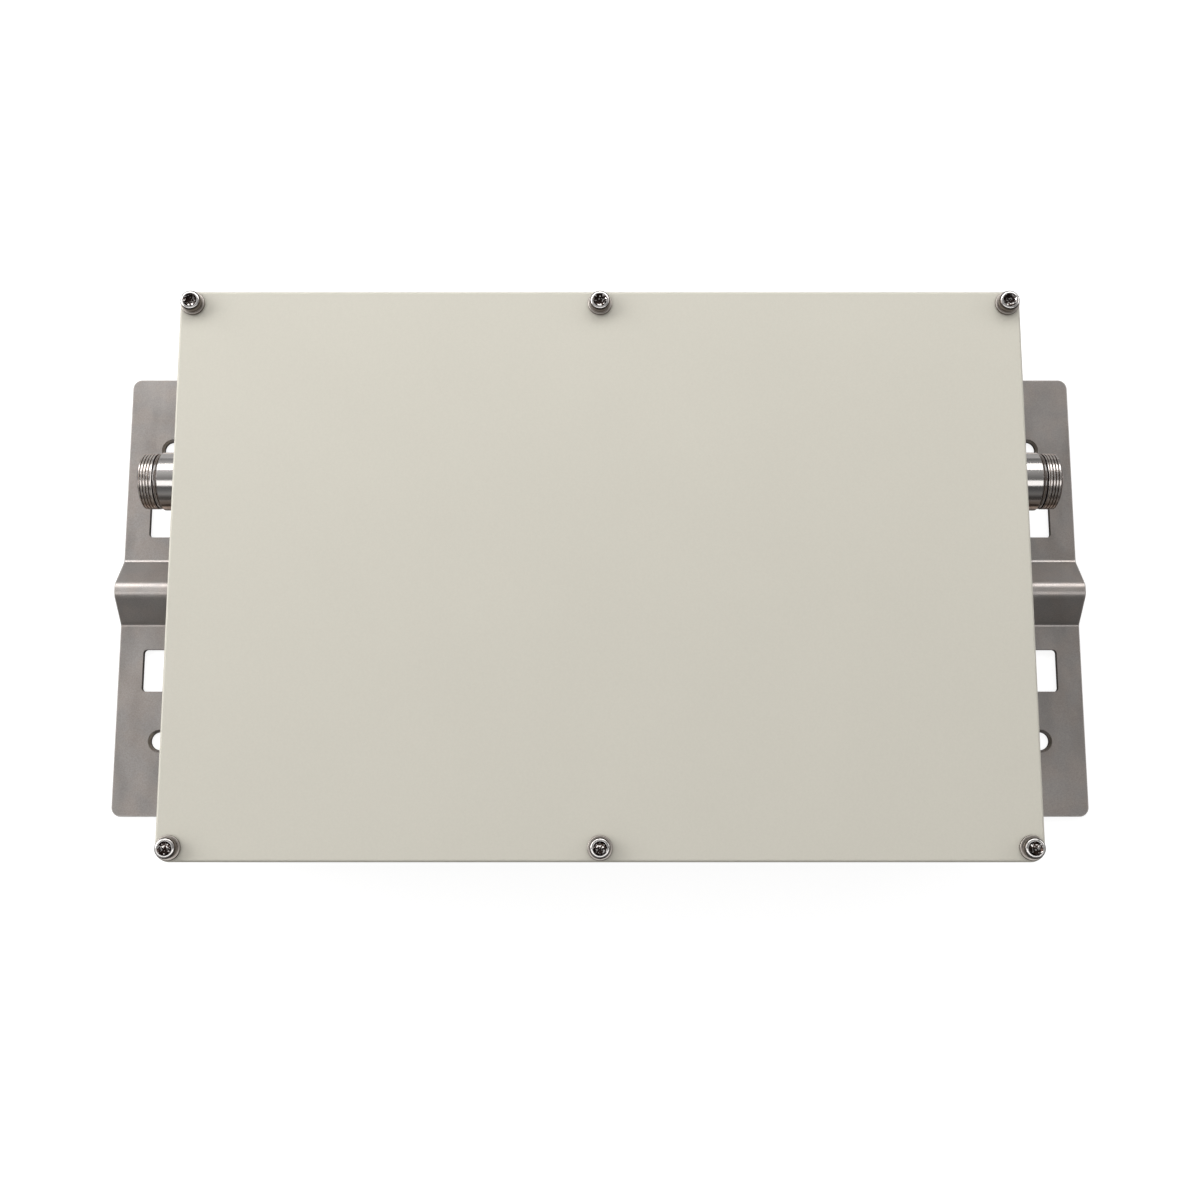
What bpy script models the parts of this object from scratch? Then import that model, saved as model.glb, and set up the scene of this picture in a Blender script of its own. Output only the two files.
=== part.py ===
"""Mast or wall mounted RF cavity bandpass filter, lying on the back of its brackets.

X runs from port to port, Y up the cover and Z out of the cover. The origin is on the
plane of the brackets' back faces, under the middle of the cover.
"""
import math

import bmesh
import bpy

MM = 0.001

# Clearances between pieces
SEAT_GAP = 0.3 * MM
SCREW_PLAY = 0.25 * MM
LID_PLAY = 0.6 * MM
CUTTER_OVERRUN = 1.0 * MM
WELD_DISTANCE = 0.01 * MM

# Weather cover
COVER_LENGTH = 420.0 * MM
COVER_WIDTH = 281.0 * MM
COVER_THICKNESS = 4.0 * MM
COVER_CORNER_RADIUS = 7.0 * MM
COVER_EDGE_RADIUS = 1.4 * MM
COVER_OVERHANG = 1.0 * MM

# Cast housing
RIM_RISE = 19.4 * MM
LEDGE_WIDTH = 7.0 * MM
FLOOR_THICKNESS = 6.0 * MM
HOUSING_CORNER_RADIUS = 7.0 * MM
HOUSING_EDGE_RADIUS = 1.0 * MM
BOSS_RADIUS = 7.0 * MM
BOSS_FOOT_FLARE = 2.5 * MM
BOSS_END_INSET = 30.75 * MM

# Cavities, and the windows that couple one to the next
CAVITY_COLUMNS = 4
CAVITY_DEPTH = 38.0 * MM
CAVITY_WALL = 5.0 * MM
CAVITY_CORNER_RADIUS = 7.0 * MM
JUNCTION_RADIUS = 5.0 * MM
IRIS_WIDTH = 32.0 * MM
IRIS_DEPTH = 24.0 * MM

# Resonators and the screws that tune them
RESONATOR_RADIUS = 12.0 * MM
RESONATOR_TOP_CLEARANCE = 4.7 * MM
RESONATOR_CAP_RADIUS = 19.0 * MM
RESONATOR_CAP_THICKNESS = 2.5 * MM
RESONATOR_CUP_RADIUS = 8.0 * MM
RESONATOR_CUP_DEPTH = 22.0 * MM
RESONATOR_STUD_RADIUS = 2.5 * MM
RESONATOR_STUD_LENGTH = 4.0 * MM
TUNING_SCREW_RADIUS = 3.0 * MM
TUNING_SCREW_LENGTH = 24.0 * MM
TUNING_SCREW_RISE = 9.0 * MM
TUNING_SLOT_WIDTH = 1.2 * MM
TUNING_SLOT_DEPTH = 2.0 * MM

# Cavity lid
LID_THICKNESS = 3.0 * MM
LID_CORNER_RADIUS = 4.0 * MM

# Seal under the cover, in a groove between the screw holes and the lid's recess
GASKET_RADIUS = 1.0 * MM
GASKET_CORNER_RADIUS = 4.0 * MM
GROOVE_PLAY = 0.25 * MM
GROOVE_OUTER_WALL = 1.8 * MM
GROOVE_INNER_WALL = 1.75 * MM

# Cover screws, low head with a hexagon socket, and their washers
COVER_SCREW_INSET = 6.7 * MM
COVER_SCREW_RADIUS = 3.0 * MM
COVER_SCREW_LENGTH = 20.0 * MM
COVER_HEAD_RADIUS = 5.0 * MM
COVER_HEAD_HEIGHT = 4.0 * MM
COVER_HEAD_ROUNDING = 1.0 * MM
COVER_SOCKET_FLATS = 5.0 * MM
COVER_SOCKET_DEPTH = 2.4 * MM
COVER_MOUTH_RADIUS = 3.3 * MM
COVER_MOUTH_FOOT_RADIUS = 2.3 * MM
WASHER_RADIUS = 6.0 * MM
WASHER_THICKNESS = 1.6 * MM

# Lid screws
LID_SCREW_RADIUS = 1.5 * MM
LID_SCREW_LENGTH = 10.0 * MM
LID_HEAD_RADIUS = 2.75 * MM
LID_HEAD_HEIGHT = 2.4 * MM
LID_HEAD_ROUNDING = 0.3 * MM
LID_SOCKET_FLATS = 2.5 * MM
LID_SOCKET_DEPTH = 1.3 * MM

# Coaxial ports with an M29 thread
PORT_OFFSET = 53.3 * MM
PORT_ABOVE_FLOOR = 18.1 * MM
PORT_REACH = 28.6 * MM
PORT_SPIGOT_RADIUS = 11.0 * MM
PORT_COLLAR_RADIUS = 19.0 * MM
PORT_COLLAR_THICKNESS = 5.0 * MM
PORT_COLLAR_FLATS = 34.0 * MM
PORT_BARREL_RADIUS = 15.4 * MM
PORT_THREAD_RADIUS = 14.5 * MM
PORT_THREAD_LENGTH = 7.4 * MM
PORT_GROOVE_WIDTH = 2.4 * MM
PORT_GROOVE_RADIUS = 12.2 * MM
PORT_CHAMFER = 0.7 * MM
PORT_SOCKET_RADIUS = 9.05 * MM
PORT_SOCKET_DEPTH = 9.5 * MM
PORT_BORE_RADIUS = 8.0 * MM
PORT_REAR_BORE_RADIUS = 7.2 * MM
INSULATOR_THICKNESS = 5.0 * MM
INSULATOR_SETBACK = 6.0 * MM
CONTACT_RADIUS = 3.5 * MM
CONTACT_BORE_RADIUS = 2.5 * MM
CONTACT_BORE_DEPTH = 8.0 * MM
CONTACT_SETBACK = 1.8 * MM
CONTACT_SLIT_WIDTH = 0.6 * MM
CONTACT_SLIT_LENGTH = 6.0 * MM
CONTACT_NECK_RADIUS = 3.0 * MM
PROBE_ROD_RADIUS = 2.0 * MM
PROBE_DISC_RADIUS = 6.0 * MM
PROBE_DISC_THICKNESS = 1.5 * MM
PROBE_GAP = 4.0 * MM

# Hat-section brackets, placed from the cover's edges
BRACKET_OVERHANG = 50.25 * MM
BRACKET_UNDERLAP = 59.75 * MM
BRACKET_SIDE_INSET = 20.25 * MM
SHEET_THICKNESS = 3.0 * MM
BRACKET_CORNER_RADIUS = 5.0 * MM
RIDGE_RISE = 13.0 * MM
RIDGE_CROWN_WIDTH = 9.0 * MM
RIDGE_SLOPE = math.radians(45.0)
BEND_RADIUS = 4.5 * MM
SLOT_LENGTH = 25.0 * MM
SLOT_WIDTH = 22.7 * MM
SLOT_FOOT_DISTANCE = 13.45 * MM
SLOT_EDGE_DISTANCE = 13.1 * MM
SLOT_CORNER_RADIUS = 2.0 * MM
WALL_HOLE_RADIUS = 4.75 * MM
WALL_HOLE_SINK_RADIUS = 6.0 * MM
WALL_HOLE_SIDE_DISTANCE = 40.05 * MM
WALL_HOLE_EDGE_DISTANCE = 23.9 * MM

# Countersunk screws that hold the brackets to the housing's bosses
BRACKET_SCREW_RADIUS = 2.5 * MM
BRACKET_SCREW_LENGTH = 13.0 * MM
BRACKET_SCREW_FOOT_DISTANCE = 20.5 * MM
BRACKET_SCREW_SIDE_DISTANCE = 16.25 * MM
BRACKET_HEAD_RADIUS = 4.6 * MM
BRACKET_HEAD_RECESS = 0.2 * MM
BRACKET_SOCKET_FLATS = 3.0 * MM
BRACKET_SOCKET_DEPTH = 1.6 * MM

# Levels from the brackets' back faces upward
CROWN_TOP = SHEET_THICKNESS + RIDGE_RISE
HOUSING_BACK = CROWN_TOP + SEAT_GAP
CAVITY_FLOOR = HOUSING_BACK + FLOOR_THICKNESS
LID_SEAT = CAVITY_FLOOR + CAVITY_DEPTH
LID_BOTTOM = LID_SEAT + SEAT_GAP
LID_TOP = LID_BOTTOM + LID_THICKNESS
LID_HEAD_SEAT = LID_TOP + SEAT_GAP
RIM_TOP = LID_SEAT + RIM_RISE
COVER_BOTTOM = RIM_TOP + SEAT_GAP
COVER_TOP = COVER_BOTTOM + COVER_THICKNESS
WASHER_BOTTOM = COVER_TOP + SEAT_GAP
COVER_HEAD_SEAT = WASHER_BOTTOM + WASHER_THICKNESS + SEAT_GAP
PORT_AXIS = CAVITY_FLOOR + PORT_ABOVE_FLOOR

# Plan sizes that several pieces share
HOLE_RADIUS_COVER = COVER_SCREW_RADIUS + SCREW_PLAY
HOLE_RADIUS_LID = LID_SCREW_RADIUS + SCREW_PLAY
HOLE_RADIUS_BRACKET = BRACKET_SCREW_RADIUS + SCREW_PLAY
GROOVE_WIDTH = 2 * (GASKET_RADIUS + GROOVE_PLAY)
GROOVE_INSET = COVER_SCREW_INSET - COVER_OVERHANG + HOLE_RADIUS_COVER + GROOVE_OUTER_WALL
RIM_WIDTH = GROOVE_INSET + GROOVE_WIDTH + GROOVE_INNER_WALL
HOUSING_LENGTH = COVER_LENGTH - 2 * COVER_OVERHANG
HOUSING_WIDTH = COVER_WIDTH - 2 * COVER_OVERHANG
GASKET_LENGTH = HOUSING_LENGTH - 2 * GROOVE_INSET - GROOVE_WIDTH
GASKET_WIDTH = HOUSING_WIDTH - 2 * GROOVE_INSET - GROOVE_WIDTH
RECESS_LENGTH = HOUSING_LENGTH - 2 * RIM_WIDTH
RECESS_WIDTH = HOUSING_WIDTH - 2 * RIM_WIDTH
FIELD_LENGTH = RECESS_LENGTH - 2 * LEDGE_WIDTH
FIELD_WIDTH = RECESS_WIDTH - 2 * LEDGE_WIDTH
END_WALL = (HOUSING_LENGTH - FIELD_LENGTH) / 2
CAVITY_LENGTH = (FIELD_LENGTH - (CAVITY_COLUMNS - 1) * CAVITY_WALL) / CAVITY_COLUMNS
CAVITY_WIDTH = (FIELD_WIDTH - CAVITY_WALL) / 2
CAVITY_PITCH = CAVITY_LENGTH + CAVITY_WALL
ROW_OFFSET = (CAVITY_WIDTH + CAVITY_WALL) / 2
BRACKET_SPAN = COVER_LENGTH + 2 * BRACKET_OVERHANG
BRACKET_WIDTH = COVER_WIDTH - 2 * BRACKET_SIDE_INSET
BRACKET_LENGTH = BRACKET_OVERHANG + BRACKET_UNDERLAP
RIDGE_FOOT = RIDGE_CROWN_WIDTH / 2 + RIDGE_RISE / math.tan(RIDGE_SLOPE)

# Sides of round pieces, and steps of round edges
FINE_SIDES = 28
HOLE_SIDES = 24
MEDIUM_SIDES = 16
INNER_SIDES = 12
COARSE_SIDES = 10
RING_SECTION_SIDES = 6
HEX_SIDES = 6
CORNER_STEPS = 3
EDGE_STEPS = 2
SHARP_EDGE_ANGLE = math.radians(50.0)

SIDES = {"left": -1, "right": 1}
FACE_OUTWARD = {side: (0.0, sign * math.pi / 2, 0.0) for side, sign in SIDES.items()}
STAND_SECTION_UP = (math.pi / 2, 0.0, math.pi / 2)
FLAT = (0.0, 0.0, 0.0)


def start_collections():
    """Empties the scene and makes one collection for the parts and one for the cutters."""
    for item in list(bpy.data.objects):
        bpy.data.objects.remove(item, do_unlink=True)
    made = []
    for name in ("rf_bandpass_filter", "cutters"):
        collection = bpy.data.collections.new(name)
        bpy.context.scene.collection.children.link(collection)
        made.append(collection)
    return made


PARTS, CUTTERS = start_collections()


def make_material(name, color, roughness, metallic):
    material = bpy.data.materials.new(name)
    material.use_nodes = True
    shader = material.node_tree.nodes["Principled BSDF"]
    shader.inputs["Base Color"].default_value = (*color, 1.0)
    shader.inputs["Roughness"].default_value = roughness
    shader.inputs["Metallic"].default_value = metallic
    material.diffuse_color = (*color, 1.0)
    return material


CREAM_PAINT = make_material("cream_paint", (0.66, 0.64, 0.56), 0.55, 0.0)
CAST_PAINT = make_material("cast_paint", (0.62, 0.60, 0.53), 0.65, 0.0)
STAINLESS_SHEET = make_material("stainless_sheet", (0.50, 0.49, 0.47), 0.38, 1.0)
STAINLESS_SCREW = make_material("stainless_screw", (0.62, 0.60, 0.58), 0.25, 1.0)
NICKEL_PLATE = make_material("nickel_plate", (0.72, 0.69, 0.66), 0.18, 1.0)
SILVER_PLATE = make_material("silver_plate", (0.86, 0.85, 0.82), 0.25, 1.0)
BRASS = make_material("brass", (0.72, 0.55, 0.27), 0.30, 1.0)
PLAIN_ALUMINIUM = make_material("plain_aluminium", (0.75, 0.75, 0.76), 0.35, 1.0)
WHITE_POLYMER = make_material("white_polymer", (0.90, 0.90, 0.88), 0.45, 0.0)
DARK_RUBBER = make_material("dark_rubber", (0.04, 0.035, 0.03), 0.60, 0.0)


def file_away(item, material):
    """Puts a part in the parts collection, or a cutter that has no material with the cutters."""
    for collection in list(item.users_collection):
        collection.objects.unlink(item)
    if material is None:
        CUTTERS.objects.link(item)
        item.hide_render = True
        item.display_type = "WIRE"
    else:
        PARTS.objects.link(item)
        item.data.materials.clear()
        item.data.materials.append(material)
    return item


def mesh_of_curve(name, curve):
    """Turns a curve into a closed mesh whose caps are welded to its sides."""
    source = bpy.data.objects.new(name + "_curve", curve)
    bpy.context.scene.collection.objects.link(source)
    evaluated = source.evaluated_get(bpy.context.evaluated_depsgraph_get())
    mesh = bpy.data.meshes.new_from_object(evaluated)
    bpy.data.objects.remove(source, do_unlink=True)
    welded = bmesh.new()
    welded.from_mesh(mesh)
    bmesh.ops.remove_doubles(welded, verts=welded.verts, dist=WELD_DISTANCE)
    welded.to_mesh(mesh)
    welded.free()
    item = bpy.data.objects.new(name, mesh)
    bpy.context.scene.collection.objects.link(item)
    return item


def flat_piece(name, outlines, bottom, top, material=None, rotation=FLAT, centre=(0.0, 0.0)):
    """Extrudes flat outlines, the first one outside and the rest as holes, from bottom to top."""
    curve = bpy.data.curves.new(name, "CURVE")
    curve.dimensions = "2D"
    curve.fill_mode = "BOTH"
    curve.extrude = (top - bottom) / 2
    for outline in outlines:
        spline = curve.splines.new("POLY")
        spline.points.add(len(outline) - 1)
        for point, (x, y) in zip(spline.points, outline):
            point.co = (x, y, 0.0, 1.0)
        spline.use_cyclic_u = True
    item = mesh_of_curve(name, curve)
    item.rotation_euler = rotation
    middle = (top + bottom) / 2
    item.location = (middle, *centre) if rotation == STAND_SECTION_UP else (*centre, middle)
    return file_away(item, material)


def turned_piece(name, profile, sides, material=None, closed=False, origin=(0, 0, 0), rotation=FLAT):
    """Turns a profile of (radius, height) points, listed down its outer side, round local Z."""
    mesh = bpy.data.meshes.new(name)
    links = [(index, index + 1) for index in range(len(profile) - 1)]
    if closed:
        links.append((len(profile) - 1, 0))
    mesh.from_pydata([(radius, 0.0, height) for radius, height in profile], links, [])
    item = bpy.data.objects.new(name, mesh)
    bpy.context.scene.collection.objects.link(item)
    screw = item.modifiers.new("turn", "SCREW")
    screw.steps = sides
    screw.render_steps = sides
    screw.use_merge_vertices = True
    screw.merge_threshold = WELD_DISTANCE
    screw.use_smooth_shade = False
    item.location = origin
    item.rotation_euler = rotation
    return file_away(item, material)


def cylinder(name, radius, bottom, top, sides, origin=(0.0, 0.0), material=None):
    profile = [(0.0, top), (radius, top), (radius, bottom), (0.0, bottom)]
    return turned_piece(name, profile, sides, material, origin=(*origin, 0.0))


def block_cutter(name, size, centre):
    bpy.ops.mesh.primitive_cube_add(size=1.0, location=centre)
    item = bpy.context.active_object
    item.name = name
    item.scale = size
    return file_away(item, None)


def round_edges(item, width):
    """Rounds the sharp edges of a plate, and leaves the blunt ones of its round corners alone."""
    bevel = item.modifiers.new("edges", "BEVEL")
    bevel.width = width
    bevel.segments = EDGE_STEPS
    bevel.limit_method = "ANGLE"
    bevel.angle_limit = SHARP_EDGE_ANGLE


def combine(item, operation, tools):
    """Cuts, joins or intersects a piece with each of the tools in turn."""
    for tool in tools:
        boolean = item.modifiers.new(tool.name, "BOOLEAN")
        boolean.operation = operation
        boolean.object = tool
        boolean.solver = "EXACT"


def arc(centre, radius, start, end, steps):
    points = []
    for step in range(steps + 1):
        angle = start + (end - start) * step / steps
        points.append((centre[0] + radius * math.cos(angle), centre[1] + radius * math.sin(angle)))
    return points


def rounded_rectangle(length, width, radius, centre=(0.0, 0.0)):
    """Outline of a rectangle with round corners, anticlockwise."""
    outline = []
    for corner, (x_sign, y_sign) in enumerate(((1, 1), (-1, 1), (-1, -1), (1, -1))):
        middle_x = centre[0] + x_sign * (length / 2 - radius)
        middle_y = centre[1] + y_sign * (width / 2 - radius)
        start = corner * math.pi / 2
        outline += arc((middle_x, middle_y), radius, start, start + math.pi / 2, CORNER_STEPS)
    return outline


def circle(radius, sides, centre=(0.0, 0.0)):
    return arc(centre, radius, 0.0, 2 * math.pi, sides)[:-1]


def bent_sheet_outline(corners, bend_radius, thickness):
    """Section of a sheet that follows straight runs with a round bend at each inner corner."""
    places = []
    first_run = math.atan2(corners[1][1] - corners[0][1], corners[1][0] - corners[0][0])
    places.append((corners[0], first_run))
    for before, corner, after in zip(corners, corners[1:], corners[2:]):
        heading_in = math.atan2(corner[1] - before[1], corner[0] - before[0])
        heading_out = math.atan2(after[1] - corner[1], after[0] - corner[0])
        turn = heading_out - heading_in
        lead = bend_radius * math.tan(abs(turn) / 2)
        start = (corner[0] - lead * math.cos(heading_in), corner[1] - lead * math.sin(heading_in))
        side = math.copysign(1.0, turn)
        middle = (start[0] - side * bend_radius * math.sin(heading_in),
                  start[1] + side * bend_radius * math.cos(heading_in))
        for step in range(CORNER_STEPS + 1):
            heading = heading_in + turn * step / CORNER_STEPS
            place = (middle[0] + side * bend_radius * math.sin(heading),
                     middle[1] - side * bend_radius * math.cos(heading))
            places.append((place, heading))
    last_run = math.atan2(corners[-1][1] - corners[-2][1], corners[-1][0] - corners[-2][0])
    places.append((corners[-1], last_run))
    half = thickness / 2
    upper = [(x - half * math.sin(heading), y + half * math.cos(heading)) for (x, y), heading in places]
    lower = [(x + half * math.sin(heading), y - half * math.cos(heading)) for (x, y), heading in places]
    return lower + upper[::-1]


def cavity_x(column):
    return (column - (CAVITY_COLUMNS - 1) / 2) * CAVITY_PITCH


def cavity_path():
    """Cavities in the order that the signal takes, down one column and up the next."""
    path = []
    for column in range(CAVITY_COLUMNS):
        rows = (1, -1) if column % 2 == 0 else (-1, 1)
        path += [(column, row) for row in rows]
    return path


def cavity_centre(place):
    column, row = place
    return (cavity_x(column), row * ROW_OFFSET)


def wall_crossings():
    return [((cavity_x(column) + cavity_x(column + 1)) / 2, 0.0) for column in range(CAVITY_COLUMNS - 1)]


def cover_screw_places():
    x_reach = COVER_LENGTH / 2 - COVER_SCREW_INSET
    y_reach = COVER_WIDTH / 2 - COVER_SCREW_INSET
    return [(x, y) for y in (y_reach, -y_reach) for x in (-x_reach, 0.0, x_reach)]


def lid_screw_places():
    x_reach = (RECESS_LENGTH - LEDGE_WIDTH) / 2
    y_reach = (RECESS_WIDTH - LEDGE_WIDTH) / 2
    ledge = [(x, y) for y in (y_reach, -y_reach) for x in (-x_reach, 0.0, x_reach)]
    return ledge + wall_crossings()


def bracket_screw_places(sign):
    x = sign * (HOUSING_LENGTH / 2 - BOSS_END_INSET)
    near = RIDGE_FOOT + BRACKET_SCREW_FOOT_DISTANCE
    far = BRACKET_WIDTH / 2 - BRACKET_SCREW_SIDE_DISTANCE
    return [(x, y) for y in (-far, -near, near, far)]


def make_cover():
    outline = rounded_rectangle(COVER_LENGTH, COVER_WIDTH, COVER_CORNER_RADIUS)
    cover = flat_piece("front_cover", [outline], COVER_BOTTOM, COVER_TOP, CREAM_PAINT)
    round_edges(cover, COVER_EDGE_RADIUS)
    holes = []
    for number, place in enumerate(cover_screw_places(), 1):
        hole = cylinder(f"cover_hole_{number}", HOLE_RADIUS_COVER, COVER_BOTTOM - CUTTER_OVERRUN,
                        COVER_TOP + CUTTER_OVERRUN, COARSE_SIDES, place)
        holes.append(hole)
    combine(cover, "DIFFERENCE", holes)


def make_gasket():
    outline = rounded_rectangle(GASKET_LENGTH, GASKET_WIDTH, GASKET_CORNER_RADIUS)
    curve = bpy.data.curves.new("cover_gasket", "CURVE")
    curve.dimensions = "3D"
    curve.bevel_depth = GASKET_RADIUS
    curve.bevel_resolution = 2
    spline = curve.splines.new("POLY")
    spline.points.add(len(outline) - 1)
    for point, (x, y) in zip(spline.points, outline):
        point.co = (x, y, 0.0, 1.0)
    spline.use_cyclic_u = True
    gasket = mesh_of_curve("cover_gasket", curve)
    gasket.location.z = COVER_BOTTOM - GROOVE_PLAY - GASKET_RADIUS
    file_away(gasket, DARK_RUBBER)


def cavity_cutters():
    cutters = []
    lid_recess = rounded_rectangle(RECESS_LENGTH, RECESS_WIDTH, LID_CORNER_RADIUS + LID_PLAY)
    cutters.append(flat_piece("lid_recess", [lid_recess], LID_SEAT, RIM_TOP + CUTTER_OVERRUN))
    path = cavity_path()
    for number, place in enumerate(path, 1):
        outline = rounded_rectangle(CAVITY_LENGTH, CAVITY_WIDTH, CAVITY_CORNER_RADIUS, cavity_centre(place))
        cutters.append(flat_piece(f"cavity_{number}", [outline], CAVITY_FLOOR, LID_SEAT + CUTTER_OVERRUN))
    for number, (here, there) in enumerate(zip(path, path[1:]), 1):
        (x1, y1), (x2, y2) = cavity_centre(here), cavity_centre(there)
        across = CAVITY_WALL + 2 * CUTTER_OVERRUN
        size = (across, IRIS_WIDTH) if here[1] == there[1] else (IRIS_WIDTH, across)
        height = IRIS_DEPTH + CUTTER_OVERRUN
        middle = ((x1 + x2) / 2, (y1 + y2) / 2, LID_SEAT - IRIS_DEPTH + height / 2)
        cutters.append(block_cutter(f"iris_{number}", (*size, height), middle))
    return cutters


def gasket_groove_cutter():
    rings = []
    for offset in (GROOVE_WIDTH / 2, -GROOVE_WIDTH / 2):
        rings.append(rounded_rectangle(GASKET_LENGTH + 2 * offset, GASKET_WIDTH + 2 * offset,
                                       GASKET_CORNER_RADIUS + offset))
    bottom = COVER_BOTTOM - 2 * GASKET_RADIUS - 2 * GROOVE_PLAY
    return flat_piece("gasket_groove", rings, bottom, RIM_TOP + CUTTER_OVERRUN)


def back_boss(name, place):
    """Round boss that flares where it meets the housing's back."""
    bottom = SHEET_THICKNESS + SEAT_GAP
    flare_start = HOUSING_BACK - BOSS_FOOT_FLARE
    top = HOUSING_BACK + CUTTER_OVERRUN
    profile = [(0.0, top), (BOSS_RADIUS + BOSS_FOOT_FLARE, top),
               (BOSS_RADIUS + BOSS_FOOT_FLARE, HOUSING_BACK), (BOSS_RADIUS, flare_start),
               (BOSS_RADIUS, bottom), (0.0, bottom)]
    return turned_piece(name, profile, INNER_SIDES, origin=(*place, 0.0))


def housing_hole_cutters():
    cutters = [gasket_groove_cutter()]
    cover_hole_bottom = COVER_HEAD_SEAT - COVER_SCREW_LENGTH - SEAT_GAP
    for number, place in enumerate(cover_screw_places(), 1):
        cutters.append(cylinder(f"rim_hole_{number}", HOLE_RADIUS_COVER, cover_hole_bottom,
                                RIM_TOP + CUTTER_OVERRUN, COARSE_SIDES, place))
    lid_hole_bottom = LID_HEAD_SEAT - LID_SCREW_LENGTH - SEAT_GAP
    for number, place in enumerate(lid_screw_places(), 1):
        cutters.append(cylinder(f"ledge_hole_{number}", HOLE_RADIUS_LID, lid_hole_bottom,
                                LID_SEAT + CUTTER_OVERRUN, COARSE_SIDES, place))
    stud_hole_radius = RESONATOR_STUD_RADIUS + SCREW_PLAY
    stud_hole_bottom = CAVITY_FLOOR - RESONATOR_STUD_LENGTH - SEAT_GAP
    for number, place in enumerate(cavity_path(), 1):
        cutters.append(cylinder(f"stud_hole_{number}", stud_hole_radius, stud_hole_bottom,
                                CAVITY_FLOOR + CUTTER_OVERRUN, COARSE_SIDES, cavity_centre(place)))
    for side, sign in SIDES.items():
        bore_top = CUTTER_OVERRUN
        bore_bottom = -END_WALL - CUTTER_OVERRUN
        radius = PORT_SPIGOT_RADIUS + SEAT_GAP
        profile = [(0.0, bore_top), (radius, bore_top), (radius, bore_bottom), (0.0, bore_bottom)]
        cutters.append(turned_piece(f"port_bore_{side}", profile, FINE_SIDES,
                                    origin=port_origin(sign), rotation=FACE_OUTWARD[side]))
        hole_top = SHEET_THICKNESS + BRACKET_SCREW_LENGTH + SEAT_GAP
        for number, place in enumerate(bracket_screw_places(sign), 1):
            cutters.append(cylinder(f"boss_hole_{side}_{number}", HOLE_RADIUS_BRACKET,
                                    SHEET_THICKNESS - CUTTER_OVERRUN, hole_top, COARSE_SIDES, place))
    return cutters


def make_housing():
    outline = rounded_rectangle(HOUSING_LENGTH, HOUSING_WIDTH, HOUSING_CORNER_RADIUS)
    housing = flat_piece("housing", [outline], HOUSING_BACK, RIM_TOP, CAST_PAINT)
    round_edges(housing, HOUSING_EDGE_RADIUS)
    combine(housing, "DIFFERENCE", cavity_cutters())
    additions = []
    for number, place in enumerate(wall_crossings(), 1):
        additions.append(cylinder(f"junction_{number}", JUNCTION_RADIUS, CAVITY_FLOOR - CUTTER_OVERRUN,
                                  LID_SEAT, INNER_SIDES, place))
    for side, sign in SIDES.items():
        for number, place in enumerate(bracket_screw_places(sign), 1):
            additions.append(back_boss(f"back_boss_{side}_{number}", place))
    combine(housing, "UNION", additions)
    combine(housing, "DIFFERENCE", housing_hole_cutters())


def make_cavity_lid():
    outlines = [rounded_rectangle(RECESS_LENGTH - 2 * LID_PLAY, RECESS_WIDTH - 2 * LID_PLAY,
                                  LID_CORNER_RADIUS)]
    for place in lid_screw_places():
        outlines.append(circle(HOLE_RADIUS_LID, COARSE_SIDES, place))
    for place in cavity_path():
        outlines.append(circle(TUNING_SCREW_RADIUS + SCREW_PLAY, COARSE_SIDES, cavity_centre(place)))
    flat_piece("cavity_lid", outlines, LID_BOTTOM, LID_TOP, PLAIN_ALUMINIUM)


def make_resonators():
    """Cup-shaped posts with a brim, each with a stud that screws into the cavity's floor."""
    base = CAVITY_FLOOR + SEAT_GAP
    top = LID_SEAT - RESONATOR_TOP_CLEARANCE
    cup_bottom = top - RESONATOR_CUP_DEPTH
    brim_bottom = top - RESONATOR_CAP_THICKNESS
    profile = [(0.0, cup_bottom), (RESONATOR_CUP_RADIUS, cup_bottom), (RESONATOR_CUP_RADIUS, top),
               (RESONATOR_CAP_RADIUS, top), (RESONATOR_CAP_RADIUS, brim_bottom),
               (RESONATOR_RADIUS, brim_bottom), (RESONATOR_RADIUS, base),
               (RESONATOR_STUD_RADIUS, base), (RESONATOR_STUD_RADIUS, CAVITY_FLOOR - RESONATOR_STUD_LENGTH),
               (0.0, CAVITY_FLOOR - RESONATOR_STUD_LENGTH)]
    for number, place in enumerate(cavity_path(), 1):
        turned_piece(f"resonator_{number}", profile, INNER_SIDES, SILVER_PLATE,
                     origin=(*cavity_centre(place), 0.0))


def make_tuning_screws():
    top = LID_TOP + TUNING_SCREW_RISE
    for number, place in enumerate(cavity_path(), 1):
        centre = cavity_centre(place)
        screw = cylinder(f"tuning_screw_{number}", TUNING_SCREW_RADIUS, top - TUNING_SCREW_LENGTH, top,
                         COARSE_SIDES, centre, BRASS)
        slot_size = (2 * TUNING_SCREW_RADIUS + 2 * CUTTER_OVERRUN, TUNING_SLOT_WIDTH,
                     TUNING_SLOT_DEPTH + CUTTER_OVERRUN)
        slot_height = top - TUNING_SLOT_DEPTH + slot_size[2] / 2
        slot = block_cutter(f"tuning_slot_{number}", slot_size, (*centre, slot_height))
        combine(screw, "DIFFERENCE", [slot])


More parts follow.
